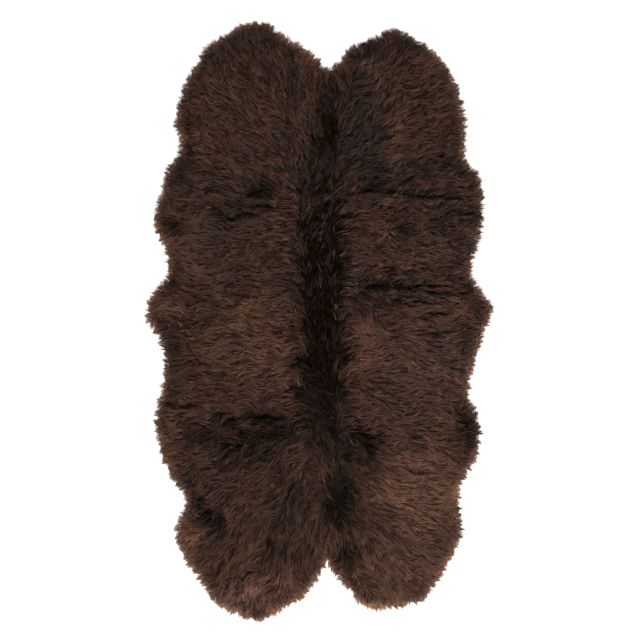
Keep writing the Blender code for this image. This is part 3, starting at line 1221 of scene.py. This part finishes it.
@dataclass(frozen=True)
class Suede:
    """The tanned flesh side of a hide: matt, mottled and finely grained.

    Attributes:
        pale: The suede where its nap is raised.
        deep: The suede where it is rubbed down.
        blotches: How many blotches it has in a metre.
        grains: How many grains it has in a metre.
    """

    pale: Colour = (0.235, 0.150, 0.105)
    deep: Colour = (0.120, 0.070, 0.048)
    blotches: float = 9.0
    grains: float = 900.0

    def material(self, name: str) -> bpy.types.Material:
        """The finish of a hide, on object coordinates in metres.

        Args:
            name: The material's name.

        Returns:
            The material.
        """
        shader = Shader(name)
        place = shader.node("ShaderNodeTexCoord", output="Object")
        mottle = shader.noise(place, scale=self.blotches, detail=5.0, rough=0.6)
        grain = shader.noise(place, scale=self.grains, detail=3.0, rough=0.6)
        share = shader.clamp(mottle * 1.6 + grain * 0.4 - 0.5)
        shader.set(
            Base_Color=shader.mix(share, opaque(self.deep), opaque(self.pale)),
            Roughness=0.88 + 0.1 * grain,
            Specular_IOR_Level=0.2,
            Sheen_Weight=0.3,
            Sheen_Roughness=0.5,
        )
        shader.bump(grain, depth=0.5 * MM, strength=0.8)
        return shader.material


# How wide a strand is along its length: places from root to tip, and its share of its full width there
GIRTH = ((0, 0.3, 0.6, 0.85, 1), (0.7, 1.0, 0.95, 0.65, 0))


@dataclass
class Growth:
    """What sets each strand apart, with a number for each strand.

    Attributes:
        x: Where it is rooted across the rug.
        y: Where it is rooted along the rug.
        back_x: How far its tip is drawn to its lock's middle, across the rug.
        back_y: The same along the rug.
        turn: How far it is turned from the flow.
        bend: How much farther it turns up to its tip.
        crimp: How far its waves turn it.
        start: Where its waves start.
        length: Its length.
        lift: How far it stands above the wool.
        half_width: Half its width at its widest.
        tone: What its lock adds to its tone.
        pelt: The number of its pelt.
    """

    x: Array
    y: Array
    back_x: Array
    back_y: Array
    turn: Array
    bend: Array
    crimp: Array
    start: Array
    length: Array
    lift: Array
    half_width: Array
    tone: Array
    pelt: Array


@dataclass(frozen=True)
class Chance:
    """How much locks and strands differ by chance. Pairs are a least and a most unless they say otherwise.

    Attributes:
        jitter: How far a lock is moved from its place in the grid, as a share of the spacing.
        tassel_reach: How much tassels change the reach past the rim, as a share of the overhang.
        lock_reach: How much that differs from lock to lock.
        lock_length: A lock's length, as a share of the coat's.
        strand_length: A strand's length, as a share of its lock's.
        wildness: How wild the wool is where no patch or tuft says otherwise.
        tuft_wildness: How much wilder it is on a tuft.
        wildest: The range of wildness.
        roughest: The wildness from which on strands lie no rougher.
        lock_lift: The most that a lock is lifted, as a share of the coat's lift.
        strand_lift: The most that a strand is lifted beyond its lock, as such a share.
        shaded_lock_share: The share of locks, drawn at random, that get painted shade standing for fine
            creases between the locks.
        lock_painted_shade: How dark that painted shade is, in spreads of the locks' tone.
        tone: The spread of the locks' tone.
        turn: The spread of the locks' turns, and of the strands' in a lock.
        bend: The same for their bends.
        crimp: A lock's crimp, as a share of the coat's.
        start: The spread in a lock of where the waves start.
        width: A strand's width, as a share of the coat's.
    """

    jitter: float = 0.42
    tassel_reach: float = 0.3
    lock_reach: float = 0.2
    lock_length: tuple[float, float] = (0.75, 1.2)
    strand_length: tuple[float, float] = (0.78, 1.0)
    wildness: float = 0.8
    tuft_wildness: float = 0.25
    wildest: tuple[float, float] = (0.25, 3.0)
    roughest: float = 1.5
    lock_lift: float = 0.6
    strand_lift: float = 0.4
    shaded_lock_share: float = 0.14
    lock_painted_shade: float = 2.4
    tone: float = 0.065
    turn: tuple[float, float] = (0.18, 0.07)
    bend: tuple[float, float] = (0.34, 0.12)
    crimp: tuple[float, float] = (0.4, 1.5)
    start: float = 0.3
    width: tuple[float, float] = (0.6, 1.15)


@dataclass(frozen=True)
class Coat:
    """A kind of strand that grows over the whole rug or along its rim, in locks.

    Attributes:
        ground: The fleeces that it grows on.
        flow: The way that it lies.
        dye_and_shade: Its tone and warmth, with their painted shade and light.
        seed: Draws the strands.
        spacing: How far apart the locks are rooted.
        per_lock: How many strands a lock has.
        lock_radius: How far from a lock's middle its strands are rooted.
        gather: How far the strands' tips draw together, from 0 to 1.
        length: A strand's length.
        half_width: Half the width of a strand at its widest.
        rings: How many rings a strand has below its tip.
        root_height: How high in the wool a strand starts, as a share of the wool's height.
        lift: The most that a strand stands above the wool's surface.
        crimp: How far a strand's waves turn it, in radians.
        deepest: How far inside the rim the strands are rooted at most.
        overhang: How far past the rim the strands reach at least and at most.
        shallowest: How far inside the rim they are rooted at least.
        crimp_length: The length of a wave of the crimp.
        flatness: A strand's thickness as a share of its width.
        floor: The height that strands stay above.
        ceiling: The height that their middles stay below.
        substeps: How many steps a strand takes from ring to ring.
        rising: The share of its length over which a strand comes up out of the wool.
        tuft_height: How far the tufts rise and fall.
        tuft_rim: How far inside the rim they have their full height.
        tufts: Where the wool stands up in tufts.
        tassels: Where the rim runs out in tassels.
        chance: How much locks and strands differ.
    """

    ground: Ground
    flow: Flow
    dye_and_shade: DyeAndShade
    seed: int
    spacing: float
    per_lock: int
    lock_radius: float
    gather: float
    length: float
    half_width: float
    rings: int
    root_height: float
    lift: float
    crimp: float
    deepest: float
    overhang: tuple[float, float]
    shallowest: float = 0.0
    crimp_length: float = 27 * MM
    flatness: float = 0.5
    floor: float = 0.4 * MM
    ceiling: float = 60 * MM
    substeps: int = 2
    rising: float = 0.34
    tuft_height: float = 2.2 * MM
    tuft_rim: float = 30 * MM
    tufts: Waves = Waves(41, 20 * MM, 75 * MM, 18)
    tassels: Waves = Waves(42, 13 * MM, 80 * MM, 18)
    chance: Chance = Chance()

    def grow(self) -> tuple[Strands, Array]:
        """Grows every strand.

        Returns:
            The strands, and the number of each one's pelt.
        """
        rng, chance = np.random.default_rng(self.seed), self.chance
        x, y = self.ground.scatter(self.spacing, chance.jitter, rng)
        depth = self.ground.read(self.ground.depth, x, y)
        pelt = self.ground.owner_at(x, y)
        kept = (depth > self.shallowest) & (depth < self.deepest) & (pelt >= 0)
        x, y, depth, pelt = x[kept], y[kept], depth[kept], pelt[kept]
        count = len(x)

        reach = 0.5 + chance.tassel_reach * self.tassels.at(x, y) + rng.normal(0, chance.lock_reach, count)
        past_rim = self.overhang[0] + (self.overhang[1] - self.overhang[0]) * np.clip(reach, 0, 1)
        length = np.minimum(self.length * rng.uniform(*chance.lock_length, count), depth + past_rim)
        wild = chance.wildness + self.dye_and_shade.patched(x, y)[2] + chance.tuft_wildness * self.tufts.at(x, y)
        wild = np.clip(wild, *chance.wildest)
        rough = np.minimum(wild, chance.roughest)
        lift = self.lift * rng.uniform(0, chance.lock_lift, count)
        # A lock's own tone at random, and for some locks painted shade that stands for fine creases.
        shade = rng.normal(0, 1, count) - chance.lock_painted_shade * (rng.uniform(0, 1, count) < chance.shaded_lock_share)
        shape = (count, self.per_lock)
        off = self.lock_radius * np.sqrt(rng.uniform(0, 1, shape))
        way = rng.uniform(0, 2 * math.pi, shape)
        off_x, off_y = off * np.cos(way), off * np.sin(way)

        def each(lock: Array, change: Array | float) -> Array:
            """A lock's number with each strand's own change added."""
            return (lock[:, None] + change * np.ones(shape)).ravel()

        growth = Growth(
            x=each(x, off_x),
            y=each(y, off_y),
            back_x=(-off_x * self.gather).ravel(),
            back_y=(-off_y * self.gather).ravel(),
            turn=each(chance.turn[0] * rough * rng.normal(0, 1, count), rng.normal(0, chance.turn[1], shape)),
            bend=each(chance.bend[0] * rough * rng.normal(0, 1, count), rng.normal(0, chance.bend[1], shape)),
            crimp=each(self.crimp * rough * rng.uniform(*chance.crimp, count), 0.0),
            start=each(rng.uniform(0, 2 * math.pi, count), rng.normal(0, chance.start, shape)),
            length=(length[:, None] * rng.uniform(*chance.strand_length, shape)).ravel(),
            lift=each(rough * lift, rough[:, None] * self.lift * rng.uniform(0, chance.strand_lift, shape)),
            half_width=self.half_width * rng.uniform(*chance.width, count * self.per_lock),
            tone=each(chance.tone * wild * shade, 0.0),
            pelt=np.repeat(pelt, self.per_lock),
        )
        return self._laid(growth, rng), growth.pelt

    def _walked(self, growth: Growth) -> tuple[Array, Array]:
        """Steps strands along the flow.

        A strand's heading is the flow's, plus turn + bend * s ** 2, plus a crimp of
        sin(2 pi * s * length / crimp_length + start), where s is how far along it is.

        Args:
            growth: What sets the strands apart.

        Returns:
            The places of the rings across and along the rug, with a row for each strand.
        """
        x, y = growth.x.copy(), growth.y.copy()
        steps_x, steps_y = [x], [y]
        count = self.rings * self.substeps
        step = growth.length / count
        for k in range(count):
            s = (k + 0.5) / count
            wave = np.sin(2 * math.pi * s * growth.length / self.crimp_length + growth.start)
            angle = self.flow.heading(x, y, growth.pelt) + growth.turn
            angle = angle + growth.bend * s**2 + growth.crimp * wave
            x, y = x + step * np.cos(angle), y + step * np.sin(angle)
            steps_x.append(x)
            steps_y.append(y)
        return np.stack(steps_x[:: self.substeps], 1), np.stack(steps_y[:: self.substeps], 1)

    def _laid(self, growth: Growth, rng: np.random.Generator) -> Strands:
        """Lays strands over the wool's surface.

        A strand is drawn to its lock's middle by s ** 2, where s is how far along it is. Its height is the
        wool's there, times a rise from root_height up to 1 by 1 - (1 - s / rising) ** 1.5, plus a lift of
        sin(pi * (0.95 * s + 0.03)), which is most at the middle.

        Args:
            growth: What sets the strands apart.
            rng: Draws their tone and warmth.

        Returns:
            The strands.
        """
        s = np.linspace(0, 1, self.rings + 1)
        x, y = self._walked(growth)
        x, y = x + growth.back_x[:, None] * s**2, y + growth.back_y[:, None] * s**2
        inside = np.clip(self.ground.read(self.ground.depth, x, y) / self.tuft_rim, 0, 1)
        surface = self.ground.read(self.ground.height, x, y) - self.flow.parted(x, y)
        surface = surface + self.tuft_height * inside * self.tufts.at(x, y)
        rise = 1 - (1 - self.root_height) * np.clip(1 - s / self.rising, 0, 1) ** 1.5
        z = surface * rise + growth.lift[:, None] * np.sin(math.pi * np.clip(s * 0.95 + 0.03, 0, 1))
        half_width = growth.half_width[:, None] * np.interp(s, *GIRTH)
        z = np.clip(z, self.floor + half_width * self.flatness, self.ceiling)
        tone, warmth = self.dye_and_shade.at(x[:, -2], y[:, -2], growth.pelt, rng)
        tone, warmth = self.dye_and_shade.stepped(tone + growth.tone), self.dye_and_shade.stepped(warmth)
        return Strands(np.stack([x, y, z], 2), half_width, tone, warmth, flatness=self.flatness)


@dataclass
class WoolPiece:
    """One pelt's share of a coat, as one mesh.

    Attributes:
        name: The piece's name.
        slot: The slot of its material. It is not used.
        material: Its finish.
        dye_and_shade: Its tone and warmth with their painted shade and light, which come in so many steps.
        bake_margin: How much of a cell of the bake's map stays empty on each side.
    """

    name: str
    slot: str
    material: bpy.types.Material
    dye_and_shade: DyeAndShade
    bake_margin: float = 0.06

    def build(self, strands: Strands) -> bpy.types.Object:
        """Makes the piece.

        The bake's map has a cell for each step of tone and of warmth. Strands of one tone and warmth look the
        same, so they share their cell.

        Args:
            strands: The strands of this piece.

        Returns:
            The piece.
        """
        points = strands.vertices()
        count, per_strand = points.shape[:2]
        offset = (np.arange(count) * per_strand)[:, None, None]
        quads, triangles = strands.faces()
        faces = [(offset + quads).reshape(-1, 4), (offset + triangles).reshape(-1, 3)]
        mesh = new_mesh(self.name, points.reshape(-1, 3), faces)

        charts = strands.charts()
        add_uv(mesh, "wool", np.concatenate([np.tile(c.reshape(-1, 2), (count, 1)) for c in charts]))
        cell = np.stack([strands.tone, strands.warmth], 1) * (self.dye_and_shade.levels - 1)
        room = 1 - 2 * self.bake_margin
        placed = [(cell[:, None, None] + self.bake_margin + room * c) / self.dye_and_shade.levels for c in charts]
        add_uv(mesh, "OFBake", np.concatenate([p.reshape(-1, 2) for p in placed]))
        add_attribute(mesh, "tone", np.repeat(strands.tone, per_strand))
        add_attribute(mesh, "warmth", np.repeat(strands.warmth, per_strand))
        LOG.info("%s: %d strands, %d triangles", self.name, count, count * (2 * len(quads) + len(triangles)))
        return add_piece(self.name, mesh, self.material)


@dataclass
class Bed:
    """The felted wool that a pelt's strands stand in: a low closed dome inside the fleece's outline.

    Attributes:
        pelt: Which pelt.
        ground: The fleeces.
        flow: The wool's partings.
        dye_and_shade: The wool's tone and warmth, with their painted shade and light.
        rays: How many directions the dome's outline is worked out in.
        steps: How many rings the dome has.
        seam_overlap: How far the dome runs past the seams, so that no light comes up through them.
        rim_inset: How far it stops short of the rim.
        farthest: The length of a ray, which is more than any way out of the rug.
        sample: How far apart the rim is looked for along a ray.
        lean: Where the rays start, as a share of the way from the rug's middle line to the pelt's middle.
        share: Its height as a share of the wool's.
        bottom: The height of its underside.
        wall: Its least thickness.
        lump_height: How far its lumps rise and fall.
        lumps: Where they are.
        seed: Draws the small changes of its tone and warmth.
    """

    pelt: Pelt
    ground: Ground
    flow: Flow
    dye_and_shade: DyeAndShade
    rays: int = 180
    steps: int = 30
    seam_overlap: float = 0.5 * MM
    rim_inset: float = 3 * MM
    farthest: float = 1.8
    sample: float = 2 * MM
    lean: float = 0.7
    share: float = 0.87
    bottom: float = 2.5 * MM
    wall: float = 1.5 * MM
    lump_height: float = 1.5 * MM
    lumps: Waves = Waves(31, 12 * MM, 40 * MM)
    seed: int = 64

    def reach(self, centre: Array, angle: Array) -> Array:
        """How far the bed reaches in each direction: to the fleece's box, or to the first sample off the rim.

        Args:
            centre: Where the rays start.
            angle: Their headings.

        Returns:
            A length for each heading.
        """
        low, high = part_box(self.pelt.fleece)
        turn = np.stack([np.cos(angle), np.sin(angle)], 1)
        turn = np.where(np.abs(turn) < TINY, TINY, turn)
        sides = np.where(turn > 0, np.array(high[:2]), np.array(low[:2])) - centre
        seam = (sides / turn).min(1) + self.seam_overlap
        far = np.arange(0, self.farthest, self.sample)
        x, y = centre[:, None, None] + turn.T[:, :, None] * far
        rim = far[np.argmax(self.ground.read(self.ground.depth, x, y) < self.rim_inset, axis=1)]
        return np.minimum(seam, rim)

    def mesh(self) -> bpy.types.Mesh:
        """The dome's mesh.

        A point lies at centre + t * reach(angle) * direction(angle), and the first angle points to the rug's
        middle. The top's height is a share of the wool's, less the partings, with small lumps. The underside
        is level.

        Returns:
            The mesh, whose points carry tone and warmth.
        """
        low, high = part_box(self.pelt.fleece)
        centre = (np.array(low[:2]) + np.array(high[:2])) / 2 * np.array((1, self.lean))
        corner = math.atan2(-centre[1], -centre[0])
        angle = corner + np.linspace(0, 2 * math.pi, self.rays, endpoint=False)
        t = np.linspace(0, 1, self.steps + 1)[1:, None]
        reach = self.reach(centre, angle)
        x = centre[0] + t * reach * np.cos(angle)
        y = centre[1] + t * reach * np.sin(angle)
        wool = self.ground.read(self.ground.height, x, y) - self.flow.parted(x, y)
        lumpy = wool * self.share + self.lump_height * self.lumps.at(x, y)
        z = np.maximum(lumpy, self.bottom + self.wall)
        top = np.stack([x, y, z], 2)
        base = np.stack([x[-1], y[-1], np.full(self.rays, self.bottom)], 1)
        ends = np.array([[*centre, z[0].mean()], [*centre, self.bottom]])
        points = np.concatenate([top.reshape(-1, 3), base, ends])

        here = np.arange(self.rays)
        following = (here + 1) % self.rays
        near = np.arange(self.steps)[:, None] * self.rays
        far = near + self.rays
        quads = np.stack([near + here, far + here, far + following, near + following], 2)
        last = self.steps * self.rays
        summit, foot = len(points) - 2, len(points) - 1
        caps = np.concatenate([
            np.stack([here, following, np.full(self.rays, summit)], 1),
            np.stack([last + following, last + here, np.full(self.rays, foot)], 1),
        ])
        mesh = new_mesh("bed_" + self.pelt.value, points, [quads.reshape(-1, 4), caps])
        number = np.full(len(points), list(Pelt).index(self.pelt))
        tone, warmth = self.dye_and_shade.at(points[:, 0], points[:, 1], number, np.random.default_rng(self.seed))
        add_attribute(mesh, "tone", np.clip(tone, 0, 1))
        add_attribute(mesh, "warmth", np.clip(warmth, 0, 1))
        return mesh

    def build(self, material: bpy.types.Material) -> bpy.types.Object:
        """Makes the bed, which stands for the pelt's fleece.

        Args:
            material: The felt.

        Returns:
            The piece.
        """
        mesh = self.mesh()
        piece = add_piece("bed_" + self.pelt.value, mesh, material)
        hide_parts(self.pelt.fleece)
        LOG.info("bed_%s: %d faces", self.pelt.value, len(mesh.polygons))
        return piece


@dataclass
class Hide:
    """A pelt's suede hide: a flat sheet with a soft worn edge, which lies under the wool.

    Attributes:
        pelt: Which pelt.
        rows: How many rows of points the sheet has.
        columns: How many points a row has.
        inset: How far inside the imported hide's ends the first and the last row lie.
        clear: How far outside it the rays start that find its sides.
        edge: How wide the worn edge is.
        worn_top: How much of its thickness the sheet loses above, at its very edge.
        worn_below: How much it loses below.
        ripple: How uneven its upper side is.
        buckle: Where that rises and falls.
    """

    pelt: Pelt
    rows: int = 64
    columns: int = 26
    inset: float = 0.05 * MM
    clear: float = 0.1
    edge: float = 3 * MM
    worn_top: float = 0.45
    worn_below: float = 0.25
    ripple: float = 0.15 * MM
    buckle: Waves = Waves(51, 25 * MM, 120 * MM)

    def mesh(self) -> tuple[bpy.types.Mesh, float]:
        """The hide's mesh and its flat area.

        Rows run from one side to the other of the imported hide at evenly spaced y, at
        left + (right - left) * u. The sheet is thinner at its edge by (1 - distance / edge) ** 2, and its
        upper side is a little uneven.

        Returns:
            The mesh and the area.
        """
        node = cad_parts[self.pelt.hide].data
        tree = BVHTree.FromPolygons([v.co for v in node.vertices], [p.vertices for p in node.polygons])
        low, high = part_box(self.pelt.hide)
        ys = np.linspace(low.y + self.inset, high.y - self.inset, self.rows)

        def side(start: float, way: int) -> Array:
            """The x at which a ray from start, one for each row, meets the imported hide."""
            return np.array([tree.ray_cast((start, y, (low.z + high.z) / 2), (way, 0, 0))[0].x for y in ys])

        left, right = side(low.x - self.clear, 1), side(high.x + self.clear, -1)
        u = (1 - np.cos(np.linspace(0, math.pi, self.columns))) / 2
        x = left[:, None] + (right - left)[:, None] * u
        y = np.repeat(ys[:, None], self.columns, 1)
        across = np.minimum(x - left[:, None], right[:, None] - x)
        inside = np.minimum(across, np.minimum(y - ys[0], ys[-1] - y))
        worn = np.clip(1 - inside / self.edge, 0, 1) ** 2
        thickness = high.z - low.z
        top = low.z + thickness * (1 - self.worn_top * worn) - self.ripple * (1 + self.buckle.at(x, y)) / 2
        bottom = low.z + thickness * self.worn_below * worn
        points = np.concatenate([np.stack([x, y, z], 2).reshape(-1, 3) for z in (top, bottom)])

        grid = np.arange(self.rows * self.columns).reshape(self.rows, self.columns)
        upper = np.stack([grid[:-1, :-1], grid[:-1, 1:], grid[1:, 1:], grid[1:, :-1]], 2).reshape(-1, 4)
        lower = upper[:, ::-1] + grid.size
        ring = np.concatenate([grid[0, :-1], grid[:-1, -1], grid[-1, :0:-1], grid[:0:-1, 0]])
        following = np.roll(ring, -1)
        wall = np.stack([ring, ring + grid.size, following + grid.size, following], 1)
        area = float(np.sum((right - left)[1:] + (right - left)[:-1]) / 2 * (ys[1] - ys[0]))
        return new_mesh("suede_" + self.pelt.value, points, [upper, lower, wall]), area

    def build(self, material: bpy.types.Material, wool: Sequence[bpy.types.Object]) -> None:
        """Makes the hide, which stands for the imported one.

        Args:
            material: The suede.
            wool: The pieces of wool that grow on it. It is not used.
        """
        mesh, area = self.mesh()
        piece = add_piece("suede_" + self.pelt.value, mesh, material)
        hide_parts(self.pelt.hide)


@dataclass
class Rug:
    """The whole sheepskin rug.

    Attributes:
        ground: Its packed fleeces.
        flow: The way its wool lies.
        dye_and_shade: Its wool's tone and warmth, with their painted shade and light.
    """

    ground: Ground
    flow: Flow
    dye_and_shade: DyeAndShade

    def coats(self) -> dict[str, Coat]:
        """The three kinds of strand.

        Returns:
            The coats by the first words of their pieces' names.
        """
        under = Coat(
            self.ground,
            self.flow,
            self.dye_and_shade,
            seed=61,
            spacing=19.2 * MM,
            per_lock=3,
            lock_radius=8 * MM,
            gather=0.4,
            length=56 * MM,
            half_width=4.2 * MM,
            rings=2,
            root_height=0.6,
            lift=1.5 * MM,
            crimp=0.1,
            deepest=1.0,
            overhang=(4 * MM, 14 * MM),
        )
        locks = replace(
            under,
            seed=62,
            spacing=15.2 * MM,
            per_lock=5,
            lock_radius=6.5 * MM,
            gather=0.5,
            length=68 * MM,
            half_width=1.6 * MM,
            rings=3,
            lift=7 * MM,
            crimp=0.4,
            overhang=(1 * MM, 14 * MM),
        )
        fringe = replace(
            under,
            seed=63,
            spacing=6 * MM,
            per_lock=5,
            lock_radius=4 * MM,
            gather=0.45,
            length=38 * MM,
            half_width=0.75 * MM,
            lift=2.5 * MM,
            crimp=0.3,
            deepest=20 * MM,
            shallowest=-3 * MM,
            overhang=(11 * MM, 30 * MM),
        )
        return {"under": under, "locks": locks, "fringe": fringe}

    def build(self) -> None:
        """Builds every pelt's bed and strands, and lays its hide."""
        dyed_and_shaded = Wool()
        wool = dyed_and_shaded.strands("brown_wool", dyed_and_shaded.tip, fade=0.3)
        fringe = dyed_and_shaded.strands("wool_fringe", dyed_and_shaded.edge, fade=1.2)
        finishes = {"under": wool, "locks": wool, "fringe": fringe}
        felt = dyed_and_shaded.bed("wool_bed")
        suede = Suede().material("suede")
        grown = {name: coat.grow() for name, coat in self.coats().items()}
        for number, pelt in enumerate(Pelt):
            pieces = [Bed(pelt, self.ground, self.flow, self.dye_and_shade).build(felt)]
            for name, (strands, owner) in grown.items():
                piece = WoolPiece(f"{name}_{pelt.value}", "wool_" + pelt.value, finishes[name], self.dye_and_shade)
                pieces.append(piece.build(strands.of(owner == number)))
            Hide(pelt).build(suede, pieces)


class Lamp(NamedTuple):
    """A soft square light: its name, its place and side in metres, and its power in watts."""

    name: str
    place: tuple[float, float, float]
    size: float
    power: float


@dataclass(frozen=True)
class Studio:
    """A pale floor, soft light and a long lens straight above, as in the photograph.

    Attributes:
        view_height: How much of the floor the picture shows, from top to bottom.
        centre: The point of the floor in the picture's middle.
        camera_height: How high the camera is.
        sensor: The width of its sensor in millimetres.
        sky: How bright the surroundings are.
        floor_half: Half the floor's width.
        floor_gap: How far it lies below the rug.
        floor_tone: How light it is.
        floor_glow: How strongly it glows, which keeps it as white as in the photograph.
        lamps: The lights.
    """

    view_height: float = 1.952
    centre: tuple[float, float] = (0.003, 0.003)
    camera_height: float = 9.0
    sensor: float = 36.0
    sky: float = 0.55
    floor_half: float = 12.0
    floor_gap: float = 0.3 * MM
    floor_tone: float = 0.65
    floor_glow: float = 0.52
    lamps: tuple[Lamp, ...] = (
        Lamp("key", (1.2, -2.5, 2.7), 2.0, 190.0),
        Lamp("fill", (-2.5, 0.4, 3.0), 2.8, 50.0),
        Lamp("back", (0.6, 2.8, 3.0), 2.6, 30.0),
    )

    def build(self) -> None:
        """Makes the camera, the floor, the lights and the surroundings."""
        scene = bpy.context.scene
        scene.view_settings.view_transform = "Standard"
        lens = bpy.data.cameras.new("camera")
        lens.sensor_width = self.sensor
        lens.lens = self.sensor * self.camera_height / self.view_height
        lens.clip_end = 100.0
        camera = bpy.data.objects.new("camera", lens)
        camera.location = (*self.centre, self.camera_height)
        scene.collection.objects.link(camera)
        scene.camera = camera
        self._floor()
        for lamp in self.lamps:
            self._light(lamp)
        world = bpy.data.worlds.new("studio")
        scene.world = world
        world.use_nodes = True
        background = world.node_tree.nodes["Background"]
        background.inputs["Color"].default_value = opaque((1.0, 1.0, 1.0))
        background.inputs["Strength"].default_value = self.sky

    def _floor(self) -> None:
        """Makes a large pale floor just below the rug."""
        corners = np.array([[-1, -1], [1, -1], [1, 1], [-1, 1]]) * self.floor_half
        points = np.concatenate([corners, np.full((4, 1), -self.floor_gap)], 1)
        mesh = new_mesh("floor", points, [np.array([[0, 1, 2, 3]])])
        shader = Shader("pale_floor")
        shader.set(
            Base_Color=opaque((self.floor_tone,) * 3),
            Roughness=0.9,
            Specular_IOR_Level=0.1,
            Emission_Color=opaque((1.0, 1.0, 1.0)),
            Emission_Strength=self.floor_glow,
        )
        mesh.materials.append(shader.material)
        floor = bpy.data.objects.new("floor", mesh)
        bpy.context.scene.collection.objects.link(floor)
        floor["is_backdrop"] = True

    @staticmethod
    def _light(lamp: Lamp) -> None:
        """Makes a light that is aimed at the rug's middle.

        Args:
            lamp: Which light.
        """
        data = bpy.data.lights.new(lamp.name, "AREA")
        data.size = lamp.size
        data.energy = lamp.power
        light = bpy.data.objects.new(lamp.name, data)
        light.location = lamp.place
        light.rotation_euler = (-light.location).to_track_quat("-Z", "Y").to_euler()
        bpy.context.scene.collection.objects.link(light)


def main() -> None:
    """Reads the frame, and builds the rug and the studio."""
    logging.basicConfig(level=logging.INFO, format="%(name)s: %(message)s")
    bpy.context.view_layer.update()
    seam_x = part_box(Pelt.UPPER_RIGHT.hide)[0].x
    seam_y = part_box(Pelt.UPPER_RIGHT.hide)[0].y
    ground = Ground()
    flow = Flow(ground, seam_x, seam_y)
    Rug(ground, flow, DyeAndShade(ground, flow)).build()
    Studio().build()


if __name__ == "__main__":
    main()
